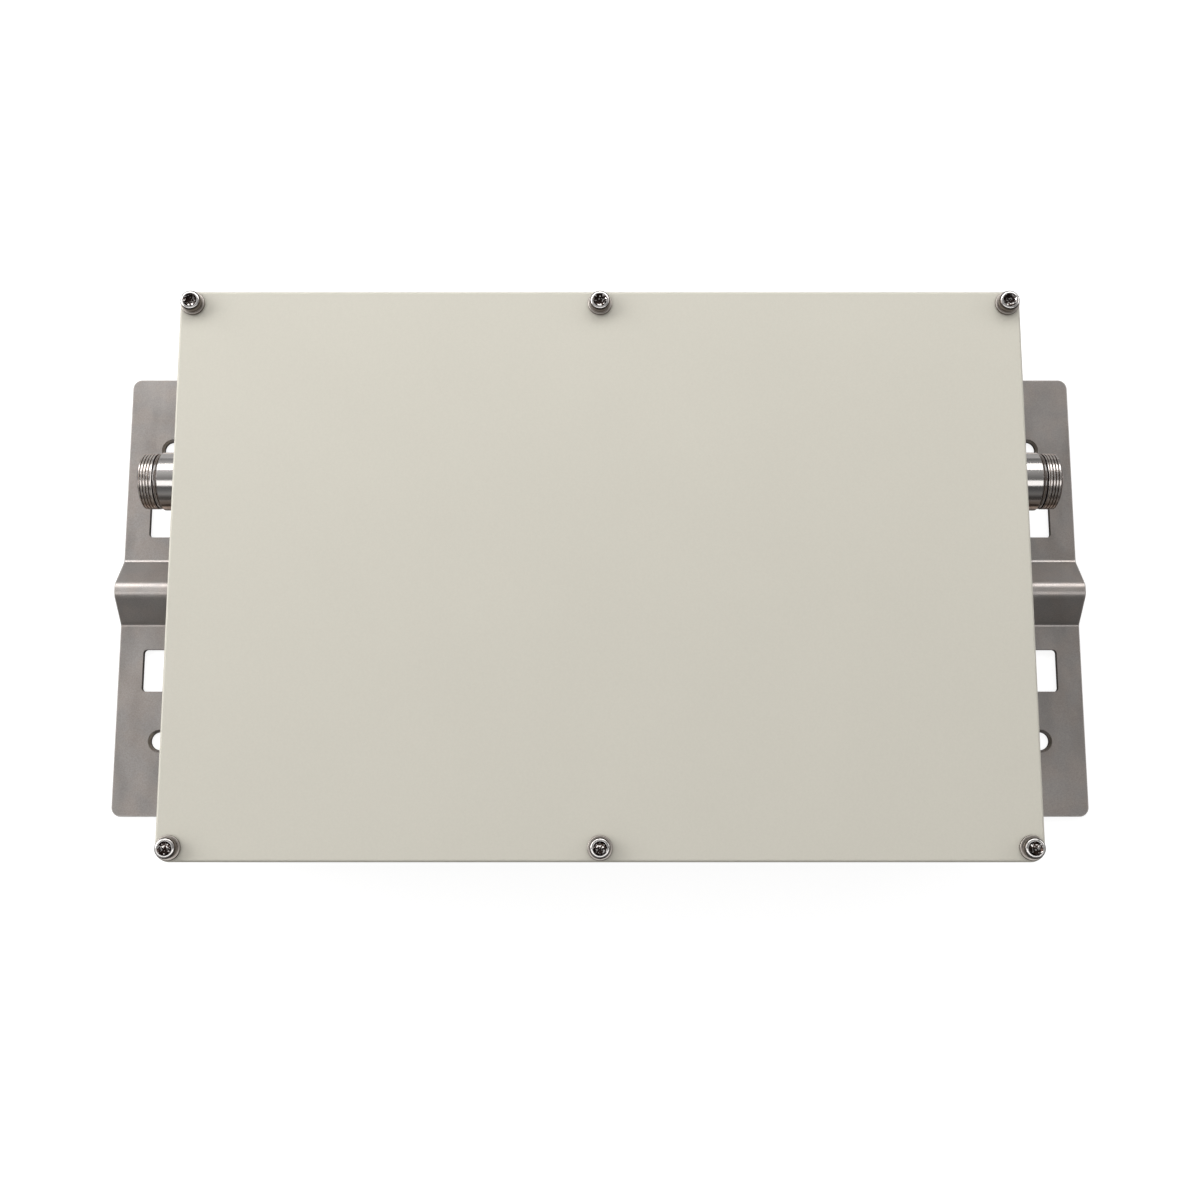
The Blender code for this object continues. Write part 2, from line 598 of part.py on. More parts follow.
def socket_screw(name, place, seat, radius, length, head_radius, head_height, rounding,
                 socket_flats, socket_depth, sides, material):
    """Makes a screw with a cylindrical head on a seat, and a hexagon socket from above."""
    top = seat + head_height
    profile = [(0.0, top), (head_radius - rounding, top), (head_radius, top - rounding),
               (head_radius, seat), (radius, seat), (radius, seat - length), (0.0, seat - length)]
    screw = turned_piece(name, profile, sides, material, origin=(*place, 0.0))
    socket_radius = socket_flats / 2 / math.cos(math.pi / HEX_SIDES)
    socket = cylinder(name + "_socket", socket_radius, top - socket_depth, top + CUTTER_OVERRUN,
                      HEX_SIDES, place)
    combine(screw, "DIFFERENCE", [socket])
    return screw


def make_cover_screws():
    bottom = WASHER_BOTTOM
    top = bottom + WASHER_THICKNESS
    ring = [(HOLE_RADIUS_COVER, top), (WASHER_RADIUS, top), (WASHER_RADIUS, bottom),
            (HOLE_RADIUS_COVER, bottom)]
    head_top = COVER_HEAD_SEAT + COVER_HEAD_HEIGHT
    foot = head_top - COVER_MOUTH_RADIUS + COVER_MOUTH_FOOT_RADIUS
    cone = [(0.0, head_top + CUTTER_OVERRUN),
            (COVER_MOUTH_RADIUS + CUTTER_OVERRUN, head_top + CUTTER_OVERRUN),
            (COVER_MOUTH_FOOT_RADIUS, foot), (0.0, foot)]
    for number, place in enumerate(cover_screw_places(), 1):
        turned_piece(f"cover_washer_{number}", ring, MEDIUM_SIDES, STAINLESS_SCREW, closed=True,
                     origin=(*place, 0.0))
        screw = socket_screw(f"cover_screw_{number}", place, COVER_HEAD_SEAT, COVER_SCREW_RADIUS,
                             COVER_SCREW_LENGTH, COVER_HEAD_RADIUS, COVER_HEAD_HEIGHT,
                             COVER_HEAD_ROUNDING, COVER_SOCKET_FLATS, COVER_SOCKET_DEPTH,
                             MEDIUM_SIDES, STAINLESS_SCREW)
        mouth = turned_piece(f"cover_mouth_{number}", cone, MEDIUM_SIDES, origin=(*place, 0.0))
        combine(screw, "DIFFERENCE", [mouth])


def make_lid_screws():
    for number, place in enumerate(lid_screw_places(), 1):
        socket_screw(f"lid_screw_{number}", place, LID_HEAD_SEAT, LID_SCREW_RADIUS,
                     LID_SCREW_LENGTH, LID_HEAD_RADIUS, LID_HEAD_HEIGHT, LID_HEAD_ROUNDING,
                     LID_SOCKET_FLATS, LID_SOCKET_DEPTH, COARSE_SIDES, STAINLESS_SCREW)


def port_origin(sign):
    """Where a port's axis meets the housing's outer wall."""
    return (sign * HOUSING_LENGTH / 2, PORT_OFFSET, PORT_AXIS)


def make_port(side, sign):
    """Connector body, insulator, centre contact with its probe, and sealing ring of one port."""
    place = {"origin": port_origin(sign), "rotation": FACE_OUTWARD[side]}
    end = PORT_REACH
    thread_start = end - PORT_THREAD_LENGTH
    barrel_end = thread_start - PORT_GROOVE_WIDTH
    socket_bottom = end - PORT_SOCKET_DEPTH
    insulator_front = socket_bottom - INSULATOR_SETBACK
    insulator_back = insulator_front - INSULATOR_THICKNESS
    inner_end = -END_WALL
    body_profile = [
        (PORT_SOCKET_RADIUS, end), (PORT_THREAD_RADIUS - PORT_CHAMFER, end),
        (PORT_THREAD_RADIUS, end - PORT_CHAMFER), (PORT_THREAD_RADIUS, thread_start),
        (PORT_GROOVE_RADIUS, thread_start), (PORT_GROOVE_RADIUS, barrel_end),
        (PORT_BARREL_RADIUS - PORT_CHAMFER, barrel_end), (PORT_BARREL_RADIUS, barrel_end - PORT_CHAMFER),
        (PORT_BARREL_RADIUS, PORT_COLLAR_THICKNESS), (PORT_COLLAR_RADIUS, PORT_COLLAR_THICKNESS),
        (PORT_COLLAR_RADIUS, SEAT_GAP), (PORT_SPIGOT_RADIUS, SEAT_GAP),
        (PORT_SPIGOT_RADIUS, inner_end), (PORT_REAR_BORE_RADIUS, inner_end),
        (PORT_REAR_BORE_RADIUS, insulator_back - SEAT_GAP), (PORT_BORE_RADIUS, insulator_back - SEAT_GAP),
        (PORT_BORE_RADIUS, socket_bottom), (PORT_SOCKET_RADIUS, socket_bottom)]
    body = turned_piece(f"connector_body_{side}", body_profile, FINE_SIDES, NICKEL_PLATE, True, **place)
    flats = []
    for name, way in (("front", 1), ("back", -1)):
        size = (PORT_COLLAR_THICKNESS + 2 * CUTTER_OVERRUN, 2 * PORT_COLLAR_RADIUS + 2 * CUTTER_OVERRUN,
                PORT_COLLAR_RADIUS)
        centre = (sign * (HOUSING_LENGTH / 2 + PORT_COLLAR_THICKNESS / 2), PORT_OFFSET,
                  PORT_AXIS + way * (PORT_COLLAR_FLATS / 2 + PORT_COLLAR_RADIUS / 2))
        flats.append(block_cutter(f"collar_flat_{side}_{name}", size, centre))
    combine(body, "DIFFERENCE", flats)

    insulator = [(CONTACT_NECK_RADIUS + SCREW_PLAY, insulator_front),
                 (PORT_BORE_RADIUS - SCREW_PLAY, insulator_front),
                 (PORT_BORE_RADIUS - SCREW_PLAY, insulator_back),
                 (CONTACT_NECK_RADIUS + SCREW_PLAY, insulator_back)]
    turned_piece(f"insulator_{side}", insulator, MEDIUM_SIDES, WHITE_POLYMER, True, **place)

    contact_end = end - CONTACT_SETBACK
    bore_bottom = contact_end - CONTACT_BORE_DEPTH
    resonator_side = cavity_x(CAVITY_COLUMNS - 1) + RESONATOR_RADIUS
    probe_end = resonator_side + PROBE_GAP - HOUSING_LENGTH / 2
    disc_top = probe_end + PROBE_DISC_THICKNESS
    contact_profile = [
        (0.0, bore_bottom), (CONTACT_BORE_RADIUS, bore_bottom), (CONTACT_BORE_RADIUS, contact_end),
        (CONTACT_RADIUS, contact_end), (CONTACT_RADIUS, insulator_front + SEAT_GAP),
        (CONTACT_NECK_RADIUS, insulator_front + SEAT_GAP), (CONTACT_NECK_RADIUS, inner_end),
        (PROBE_ROD_RADIUS, inner_end), (PROBE_ROD_RADIUS, disc_top), (PROBE_DISC_RADIUS, disc_top),
        (PROBE_DISC_RADIUS, probe_end), (0.0, probe_end)]
    contact = turned_piece(f"centre_contact_{side}", contact_profile, MEDIUM_SIDES, SILVER_PLATE, **place)
    along = CONTACT_SLIT_LENGTH + CUTTER_OVERRUN
    across = 2 * CONTACT_RADIUS + 2 * CUTTER_OVERRUN
    slit_middle = contact_end + CUTTER_OVERRUN - along / 2
    slit_centre = (sign * (HOUSING_LENGTH / 2 + slit_middle), PORT_OFFSET, PORT_AXIS)
    slits = [block_cutter(f"slit_{side}_upright", (along, CONTACT_SLIT_WIDTH, across), slit_centre),
             block_cutter(f"slit_{side}_level", (along, across, CONTACT_SLIT_WIDTH), slit_centre)]
    combine(contact, "DIFFERENCE", slits)

    section_radius = PORT_GROOVE_WIDTH / 2 - SCREW_PLAY
    bpy.ops.mesh.primitive_torus_add(major_radius=PORT_GROOVE_RADIUS + SCREW_PLAY + section_radius,
                                     minor_radius=section_radius, major_segments=FINE_SIDES,
                                     minor_segments=RING_SECTION_SIDES, rotation=FACE_OUTWARD[side])
    ring = bpy.context.active_object
    ring.name = f"port_ring_{side}"
    ring_reach = barrel_end + PORT_GROOVE_WIDTH / 2
    ring.location = (sign * (HOUSING_LENGTH / 2 + ring_reach), PORT_OFFSET, PORT_AXIS)
    file_away(ring, DARK_RUBBER)


def bracket_section():
    """Section across a bracket, with the ridge that a pole seats in from behind."""
    middle = SHEET_THICKNESS / 2
    mitre = middle * math.tan(RIDGE_SLOPE / 2)
    foot = RIDGE_FOOT - mitre
    crown = RIDGE_CROWN_WIDTH / 2 - mitre
    edge = BRACKET_WIDTH / 2 + CUTTER_OVERRUN
    right = [(crown, middle + RIDGE_RISE), (foot, middle), (edge, middle)]
    left = [(-y, z) for y, z in reversed(right)]
    return bent_sheet_outline(left + right, BEND_RADIUS, SHEET_THICKNESS)


def bracket_plan(sign):
    """Plan of a bracket with its strap slots."""
    outer_edge = BRACKET_SPAN / 2
    outlines = [rounded_rectangle(BRACKET_LENGTH, BRACKET_WIDTH, BRACKET_CORNER_RADIUS,
                                  (sign * (outer_edge - BRACKET_LENGTH / 2), 0.0))]
    slot_x = outer_edge - SLOT_EDGE_DISTANCE - SLOT_LENGTH / 2
    slot_y = RIDGE_FOOT + SLOT_FOOT_DISTANCE + SLOT_WIDTH / 2
    for way in (1, -1):
        outlines.append(rounded_rectangle(SLOT_LENGTH, SLOT_WIDTH, SLOT_CORNER_RADIUS,
                                          (sign * slot_x, way * slot_y)))
    return outlines


def bracket_hole_cutters(side, sign):
    """Wall holes, countersunk in front, and screw holes, countersunk behind."""
    cutters = []
    hole_x = sign * (BRACKET_SPAN / 2 - WALL_HOLE_EDGE_DISTANCE)
    hole_y = BRACKET_WIDTH / 2 - WALL_HOLE_SIDE_DISTANCE
    sink = WALL_HOLE_SINK_RADIUS - WALL_HOLE_RADIUS
    for number, way in enumerate((1, -1), 1):
        top = SHEET_THICKNESS + CUTTER_OVERRUN
        profile = [(0.0, top), (WALL_HOLE_SINK_RADIUS + CUTTER_OVERRUN, top),
                   (WALL_HOLE_RADIUS, SHEET_THICKNESS - sink), (WALL_HOLE_RADIUS, -CUTTER_OVERRUN),
                   (0.0, -CUTTER_OVERRUN)]
        cutters.append(turned_piece(f"wall_hole_{side}_{number}", profile, HOLE_SIDES,
                                    origin=(hole_x, way * hole_y, 0.0)))
    head_bottom = BRACKET_HEAD_RECESS
    mouth = BRACKET_HEAD_RADIUS + SEAT_GAP + head_bottom
    top = SHEET_THICKNESS + CUTTER_OVERRUN
    profile = [(0.0, top), (HOLE_RADIUS_BRACKET, top), (HOLE_RADIUS_BRACKET, mouth - HOLE_RADIUS_BRACKET),
               (mouth + CUTTER_OVERRUN, -CUTTER_OVERRUN), (0.0, -CUTTER_OVERRUN)]
    for number, place in enumerate(bracket_screw_places(sign), 1):
        cutters.append(turned_piece(f"screw_sink_{side}_{number}", profile, INNER_SIDES,
                                    origin=(*place, 0.0)))
    return cutters


def make_bracket(side, sign):
    outer_edge = sign * BRACKET_SPAN / 2
    inner_edge = sign * (BRACKET_SPAN / 2 - BRACKET_LENGTH)
    near, far = sorted((outer_edge, inner_edge))
    bracket = flat_piece(f"bracket_{side}", [bracket_section()], near - CUTTER_OVERRUN,
                         far + CUTTER_OVERRUN, STAINLESS_SHEET, STAND_SECTION_UP)
    plan = flat_piece(f"bracket_plan_{side}", bracket_plan(sign), -CUTTER_OVERRUN,
                      CROWN_TOP + CUTTER_OVERRUN)
    combine(bracket, "INTERSECT", [plan])
    combine(bracket, "DIFFERENCE", bracket_hole_cutters(side, sign))
    make_bracket_screws(side, sign)


def make_bracket_screws(side, sign):
    """Countersunk screws that enter from the back, flush with it, with a hexagon socket."""
    bottom = BRACKET_HEAD_RECESS
    cone_top = bottom + BRACKET_HEAD_RADIUS - BRACKET_SCREW_RADIUS
    top = SHEET_THICKNESS + BRACKET_SCREW_LENGTH
    profile = [(0.0, top), (BRACKET_SCREW_RADIUS, top), (BRACKET_SCREW_RADIUS, cone_top),
               (BRACKET_HEAD_RADIUS, bottom), (0.0, bottom)]
    socket_radius = BRACKET_SOCKET_FLATS / 2 / math.cos(math.pi / HEX_SIDES)
    for number, place in enumerate(bracket_screw_places(sign), 1):
        name = f"bracket_screw_{side}_{number}"
        screw = turned_piece(name, profile, COARSE_SIDES, STAINLESS_SCREW, origin=(*place, 0.0))
        socket = cylinder(name + "_socket", socket_radius, bottom - CUTTER_OVERRUN,
                          bottom + BRACKET_SOCKET_DEPTH, HEX_SIDES, place)
        combine(screw, "DIFFERENCE", [socket])


def shade_round_faces():
    """Shades every part smooth, except across edges sharper than SHARP_EDGE_ANGLE."""
    group = bpy.data.node_groups.new("smooth_by_angle", "GeometryNodeTree")
    for way in ("INPUT", "OUTPUT"):
        group.interface.new_socket("Geometry", in_out=way, socket_type="NodeSocketGeometry")
    entry = group.nodes.new("NodeGroupInput")
    faces = group.nodes.new("GeometryNodeSetShadeSmooth")
    faces.domain = "FACE"
    edges = group.nodes.new("GeometryNodeSetShadeSmooth")
    edges.domain = "EDGE"
    angle = group.nodes.new("GeometryNodeInputMeshEdgeAngle")
    is_blunt = group.nodes.new("FunctionNodeCompare")
    is_blunt.operation = "LESS_EQUAL"
    is_blunt.inputs["B"].default_value = SHARP_EDGE_ANGLE
    leave = group.nodes.new("NodeGroupOutput")
    group.links.new(entry.outputs["Geometry"], faces.inputs["Geometry"])
    group.links.new(faces.outputs["Geometry"], edges.inputs["Geometry"])
    group.links.new(angle.outputs["Unsigned Angle"], is_blunt.inputs["A"])
    group.links.new(is_blunt.outputs["Result"], edges.inputs["Shade Smooth"])
    group.links.new(edges.outputs["Geometry"], leave.inputs["Geometry"])
    for item in PARTS.objects:
        smooth = item.modifiers.new("smooth_by_angle", "NODES")
        smooth.node_group = group


make_housing()
make_cavity_lid()
make_resonators()
make_tuning_screws()
make_lid_screws()
make_gasket()
make_cover()
make_cover_screws()
for port_side, port_sign in SIDES.items():
    make_port(port_side, port_sign)
    make_bracket(port_side, port_sign)
shade_round_faces()
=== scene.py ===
"""Looks of an RF cavity bandpass filter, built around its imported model.

Everything is in metres in the part's own frame: X from port to port, Y up the cover, Z out
of the cover, with the brackets' back faces on the floor at Z = 0.
"""
import math

import bmesh
import bpy
from mathutils import Matrix, Vector


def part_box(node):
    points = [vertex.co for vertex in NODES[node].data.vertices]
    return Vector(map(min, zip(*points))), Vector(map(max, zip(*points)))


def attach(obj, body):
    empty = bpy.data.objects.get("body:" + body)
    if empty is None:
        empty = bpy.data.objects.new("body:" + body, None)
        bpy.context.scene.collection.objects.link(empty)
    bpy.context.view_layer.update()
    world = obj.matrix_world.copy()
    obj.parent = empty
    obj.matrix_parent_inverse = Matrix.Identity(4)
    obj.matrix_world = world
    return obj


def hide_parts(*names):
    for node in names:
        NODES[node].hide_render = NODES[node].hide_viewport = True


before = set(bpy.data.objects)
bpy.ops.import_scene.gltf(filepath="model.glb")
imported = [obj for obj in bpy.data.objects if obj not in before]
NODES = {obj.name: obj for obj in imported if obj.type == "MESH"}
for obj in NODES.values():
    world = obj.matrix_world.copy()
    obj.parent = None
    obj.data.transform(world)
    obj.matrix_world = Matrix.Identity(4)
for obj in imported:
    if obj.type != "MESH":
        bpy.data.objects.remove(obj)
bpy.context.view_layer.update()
MM = 0.001

# The camera stood over the cover's lower half and leaned a little towards its top
CAMERA_PLACE = (0.0, -111.5 * MM, 730.0 * MM)
CAMERA_TILT = math.radians(8.43)
CAMERA_LENS = 40.5
CAMERA_SENSOR = 36.0
CAMERA_CLIP_START = 50.0 * MM

# Cover
COVER_CORNER_RADIUS = 7.0 * MM
COVER_EDGE_RADIUS = 1.4 * MM
COVER_EDGE_STEPS = 6
COVER_HOLE_RADIUS = 3.25 * MM

# Cover screws, low head with a hexagon socket, each tightened to its own turn in degrees,
# and their washers
SCREW_TURNS = (12.0, 28.0, 5.0, 20.0, 0.0, 35.0)
SHANK_RADIUS = 3.0 * MM
HEAD_ROUNDING = 1.3 * MM
HEAD_DISH = 0.12 * MM
SOCKET_FLATS = 5.0 * MM
SOCKET_DEPTH = 2.4 * MM
SOCKET_CONE = 0.9 * MM
MOUTH_RADIUS = 3.4 * MM
MOUTH_FOOT_RADIUS = 2.3 * MM
MOUTH_DEPTH = 1.1 * MM
WASHER_ROUNDING = 0.45 * MM

# Brackets
SHEET = 3.0 * MM
BRACKET_CORNER_RADIUS = 5.0 * MM
RIDGE_RISE = 13.0 * MM
RIDGE_CROWN_WIDTH = 5.6 * MM
RIDGE_SLOPE = math.radians(41.5)
BEND_RADIUS = 4.5 * MM
SLOT_SIZE = (25.0 * MM, 22.7 * MM)
SLOT_CORNER_RADIUS = 2.0 * MM
SLOT_FOOT_DISTANCE = 13.45 * MM
SLOT_EDGE_DISTANCE = 13.1 * MM
WALL_HOLE_RADIUS = 4.75 * MM
WALL_HOLE_SINK_RADIUS = 6.0 * MM
WALL_HOLE_SIDE_DISTANCE = 40.05 * MM
WALL_HOLE_EDGE_DISTANCE = 23.9 * MM
BRACKET_SCREWS = 4
SCREW_HOLE_RADIUS = 2.75 * MM
SCREW_SINK_RADIUS = 5.1 * MM
SHEET_EDGE_ROUNDING = 0.35 * MM
SHEET_EDGE_STEPS = 2
SHEET_RIM_ROUNDING = 0.6 * MM
SHEET_RIM_STEPS = 3

# Ports, measured outward from the housing's end wall
PORT_REACH = 28.6 * MM
THREAD_RADIUS = 14.5 * MM
THREAD_LENGTH = 7.4 * MM
THREAD_PITCH = 1.5 * MM
THREAD_DEPTH = 0.55 * MM
GROOVE_WIDTH = 2.4 * MM
GROOVE_RADIUS = 12.2 * MM
BARREL_RADIUS = 15.15 * MM
COLLAR_RADIUS = 19.0 * MM
COLLAR_THICKNESS = 5.0 * MM
COLLAR_FLATS = 34.0 * MM
SPIGOT_RADIUS = 11.0 * MM
PORT_CHAMFER = 0.7 * MM
PORT_EDGE = 0.25 * MM
PORT_SOCKET_RADIUS = 9.05 * MM
PORT_SOCKET_DEPTH = 9.5 * MM
PORT_BORE_RADIUS = 8.0 * MM
PORT_BORE_LENGTH = 11.3 * MM
PORT_REAR_BORE_RADIUS = 7.2 * MM
RING_SECTION_RADIUS = 0.95 * MM
RING_PLAY = 0.25 * MM
SEAT_GAP = 0.3 * MM

# Thread form as shares of a pitch: the flat crest, and the runs over which the cut fades out
# behind the open end and before the groove
THREAD_CREST = 0.45
THREAD_RUN_IN = 0.35
THREAD_RUN_OUT = 0.8

# Fineness, and the angles past which an edge stays sharp or is rounded
FINE_SIDES = 96
HOLE_SIDES = 48
THREAD_SIDES = 128
THREAD_STEPS = 20
HEX_SIDES = 6
RING_SIDES = 16
CORNER_STEPS = 14
ROUNDING_STEPS = 5
SMOOTH_ANGLE = math.radians(32.0)
CAD_SMOOTH_ANGLE = math.radians(50.0)
COVER_BEVEL_ANGLE = math.radians(50.0)
SHEET_BEVEL_ANGLE = math.radians(38.0)

# Points this close are one, cutters run past a face by this, and a face with less of its
# normal than this along Z is upright
WELD_DISTANCE = 0.01 * MM
CUT = 1.0 * MM
UPRIGHT = 0.1
SIDES = {"left": -1, "right": 1}

# Finishes that one piece carries side by side, by their number on it
RIM, SOCKET = 0, 1
FLAT, HOLE_WALL, OUTER_EDGE = 0, 1, 2
ANY_FINISH = -1

# Colours, in linear light
HEAD_RIM = (0.80, 0.77, 0.75)
# Painted shade on the heads' shoulders and sides
HEAD_SHOULDER_SHADE = (0.085, 0.070, 0.062)
HEAD_SIDE_SHADE = (0.22, 0.19, 0.17)
# Painted glints and painted shade inside the sockets
SOCKET_GLINT = (0.85, 0.82, 0.80)
SOCKET_SHADE = (0.042, 0.028, 0.023)
WASHER_FACE = (0.50, 0.455, 0.415)
# Painted shade round the washers' edges
WASHER_EDGE_SHADE = (0.16, 0.135, 0.12)
NICKEL_BARE = (0.70, 0.67, 0.65)
THREAD_BRIGHT = (0.68, 0.63, 0.60)
# Painted shade in the thread's valleys and the groove
THREAD_VALLEY_SHADE = (0.18, 0.14, 0.12)
# Painted brown shade and reflection on the ports' lower side
PORT_UNDERSIDE_SHADE = (0.27, 0.215, 0.18)
RING_BROWN = (0.085, 0.058, 0.045)
SHEET_WARM = (0.382, 0.344, 0.320)
SHEET_GREY = (0.362, 0.338, 0.323)
WHITE = (1.0, 1.0, 1.0)

# Zones over which one colour gives way to the next: heights on the heads, the washers and the
# brackets, radii on the thread, and places down the ports' lower side, where shade and sheen are
# painted. The margins keep the painted shade of thread and groove off the bore, the end face and the
# barrel.
HEAD_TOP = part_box("cover_screw_1")[1][2]
SHOULDER_ZONE = (HEAD_TOP - 1.6 * MM, HEAD_TOP - 1.1 * MM)
RIM_ZONE = (HEAD_TOP - 0.35 * MM, HEAD_TOP - 0.12 * MM)
HEAD_WANDER = 0.08 * MM
WASHER_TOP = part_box("cover_washer_1")[1][2]
WASHER_ZONE = (WASHER_TOP - 0.25 * MM, WASHER_TOP - 0.05 * MM)
CREST_ZONE = (THREAD_RADIUS - 0.4 * MM, THREAD_RADIUS - 0.03 * MM)
UNDERSIDE_SHADE_ZONE = (-0.55 * BARREL_RADIUS, -0.85 * BARREL_RADIUS)
BORE_MARGIN = 0.5 * MM
FACE_MARGIN = 0.1 * MM
FOOT_START_ZONE = (SHEET + 0.015 * MM, SHEET + 0.05 * MM)
FOOT_END_ZONE = (SHEET + 0.3 * MM, SHEET + 0.7 * MM)
FLANK_ZONE = (SHEET + 0.5 * MM, SHEET + 1.5 * MM)
CROWN_ZONE = (SHEET + RIDGE_RISE - 2.0 * MM, SHEET + RIDGE_RISE - 0.5 * MM)

# How much brighter than the flat sheet the ridge's foot, flanks and crown are painted, as sheen,
# and how much smoother its foot is
FOOT_PAINTED_SHEEN = 1.25
FLANK_PAINTED_SHEEN = 1.22
CROWN_PAINTED_SHEEN = 1.42
FOOT_SMOOTHNESS = 0.85

# Shares of the roughness where tool marks lie, and in the thread's valleys and groove, where shade is
# painted
MARKED = (0.8, 1.25)
VALLEY_ROUGHNESS = 1.6

# Stretch of tool marks and streaks: long in the directions with small numbers
ROUND_X = (1.0, 0.06, 0.06)
ALONG_Y = (1.0, 0.05, 1.0)
ALONG_Z = (1.0, 1.0, 0.1)
STREAKS_Y = (1.0, 0.35, 1.0)

# Studio room: its level by the angle in degrees from overhead towards the cover's top, its
# share at the far left and right, and the added glow of the walls at both ends, with the
# sideways reach of a direction at which each starts and is full
ROOM_LEVELS = (
    (-100.0, 0.20), (-79.0, 0.09), (-64.0, 0.26), (-50.0, 0.14), (-36.0, 0.09), (-30.0, 0.20),
    (0.0, 0.22), (30.0, 0.50), (64.0, 0.42), (84.0, 0.24), (110.0, 0.22))
ROOM_SIDES = (1.35, 0.65)
ROOM_SIDES_REACH = (-0.5, 0.5)
ROOM_WALLS = 0.45
ROOM_WALLS_REACH = (0.50, 0.85)

# Floor: its grey under the lamps, and its own glow for each kind of ray, weak for the metal
FLOOR_SIZE = 8.0
FLOOR_DROP = 0.2 * MM
FLOOR_GREY = (0.30, 0.30, 0.30)
FLOOR_ROUGHNESS = 0.9
FLOOR_GLOW = {"Is Camera Ray": 0.86, "Is Glossy Ray": 0.12, "Is Transmission Ray": 0.86}


def middle_of(node):
    """Middle of a CAD node's box."""
    low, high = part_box(node)
    return (Vector(low) + Vector(high)) / 2


def linked(name, shape):
    """Makes an object of the scene from a bmesh, with all its faces pointing out."""
    bmesh.ops.recalc_face_normals(shape, faces=shape.faces)
    mesh = bpy.data.meshes.new(name)
    shape.to_mesh(mesh)
    shape.free()
    item = bpy.data.objects.new(name, mesh)
    bpy.context.scene.collection.objects.link(item)
    return item


def baked(item):
    """Replaces an object's mesh by what its modifiers make of it."""
    evaluated = item.evaluated_get(bpy.context.evaluated_depsgraph_get())
    mesh = bpy.data.meshes.new_from_object(evaluated)
    item.modifiers.clear()
    item.data = mesh


def combined(item, operation, tools):
    """Cuts or intersects a piece with each tool, and removes the tools."""
    for tool in tools:
        boolean = item.modifiers.new(tool.name, "BOOLEAN")
        boolean.operation = operation
        boolean.object = tool
        boolean.solver = "EXACT"
    baked(item)
    for tool in tools:
        bpy.data.objects.remove(tool, do_unlink=True)


def bevelled(item, width, steps, angle, finish=ANY_FINISH):
    """Rounds the edges sharper than an angle, and gives the new faces the finish of that number."""
    bevel = item.modifiers.new("bevel", "BEVEL")
    bevel.width = width
    bevel.segments = steps
    bevel.limit_method = "ANGLE"
    bevel.angle_limit = angle
    bevel.material = finish
    baked(item)


def coated(item, materials, number):
    """Gives a shape several materials, and all its faces the one of that number."""
    for material in materials:
        item.data.materials.append(material)
    item.data.polygons.foreach_set("material_index", [number] * len(item.data.polygons))


def finished(item, material, slot, *nodes):
    """Shades a piece, gives a bare one its material, and puts it in the place of CAD nodes."""
    item.data.shade_smooth()
    item.data.set_sharp_from_angle(angle=SMOOTH_ANGLE)
    if not item.data.materials:
        item.data.materials.append(material)
    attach(item, "root")
    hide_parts(*nodes)


def evened(item):
    """Keeps wide flat faces looking flat beside narrow round ones."""
    weighted = item.modifiers.new("even_faces", "WEIGHTED_NORMAL")
    weighted.keep_sharp = True


def settled(item, matrix):
    """Moves an object's mesh to its place, so that the object itself stays at the origin."""
    item.data.transform(matrix)
    item.data.update()
    return item


def arc(centre, radius, start, end, steps):
    """Points along an arc, with both its ends."""
    points = []
    for step in range(steps + 1):
        angle = start + (end - start) * step / steps
        points.append((centre[0] + radius * math.cos(angle), centre[1] + radius * math.sin(angle)))
    return points


def rounded_rectangle(length, width, radius, centre):
    """Outline of a rectangle with round corners."""
    outline = []
    for corner, (x_sign, y_sign) in enumerate(((1, 1), (-1, 1), (-1, -1), (1, -1))):
        middle = (centre[0] + x_sign * (length / 2 - radius), centre[1] + y_sign * (width / 2 - radius))
        start = corner * math.pi / 2
        outline += arc(middle, radius, start, start + math.pi / 2, CORNER_STEPS)
    return outline


def round_over(radius, height, rounding, up):
    """Points of a rounded outer edge of a turned piece, in the order down its outer side."""
    if up:
        return arc((radius - rounding, height - rounding), rounding, math.pi / 2, 0.0, ROUNDING_STEPS)
    return arc((radius - rounding, height + rounding), rounding, 0.0, -math.pi / 2, ROUNDING_STEPS)


def prism(name, outline, low, high, upright=True):
    """Closed solid over one outline: of X and Y up from low to high, or of Y and Z along X."""
    shape = bmesh.new()
    if upright:
        bottom = [shape.verts.new((a, b, low)) for a, b in outline]
        reach = Vector((0.0, 0.0, high - low))
    else:
        bottom = [shape.verts.new((low, a, b)) for a, b in outline]
        reach = Vector((high - low, 0.0, 0.0))
    face = shape.faces.new(bottom)
    grown = bmesh.ops.extrude_face_region(shape, geom=[face])["geom"]
    moved = [part for part in grown if isinstance(part, bmesh.types.BMVert)]
    bmesh.ops.translate(shape, verts=moved, vec=reach)
    return linked(name, shape)


def turned(name, profile, sides, closed=False, wave=None):
    """Closed solid turned round Z from (radius, height) points.

    wave(radius, height, angle) may give a point another radius, as on a thread.
    """
    rings = []
    shape = bmesh.new()
    for radius, height in profile:
        if radius == 0.0:
            rings.append([shape.verts.new((0.0, 0.0, height))])
            continue
        ring = []
        for side in range(sides):
            angle = 2 * math.pi * side / sides
            here = wave(radius, height, angle) if wave else radius
            ring.append(shape.verts.new((here * math.cos(angle), here * math.sin(angle), height)))
        rings.append(ring)
    pairs = list(zip(rings, rings[1:]))
    if closed:
        pairs.append((rings[-1], rings[0]))
    for upper, lower in pairs:
        for side in range(sides):
            corners = [upper[side % len(upper)], upper[(side + 1) % len(upper)],
                       lower[(side + 1) % len(lower)], lower[side % len(lower)]]
            distinct = list(dict.fromkeys(corners))
            if len(distinct) > 2:
                shape.faces.new(distinct)
    return linked(name, shape)


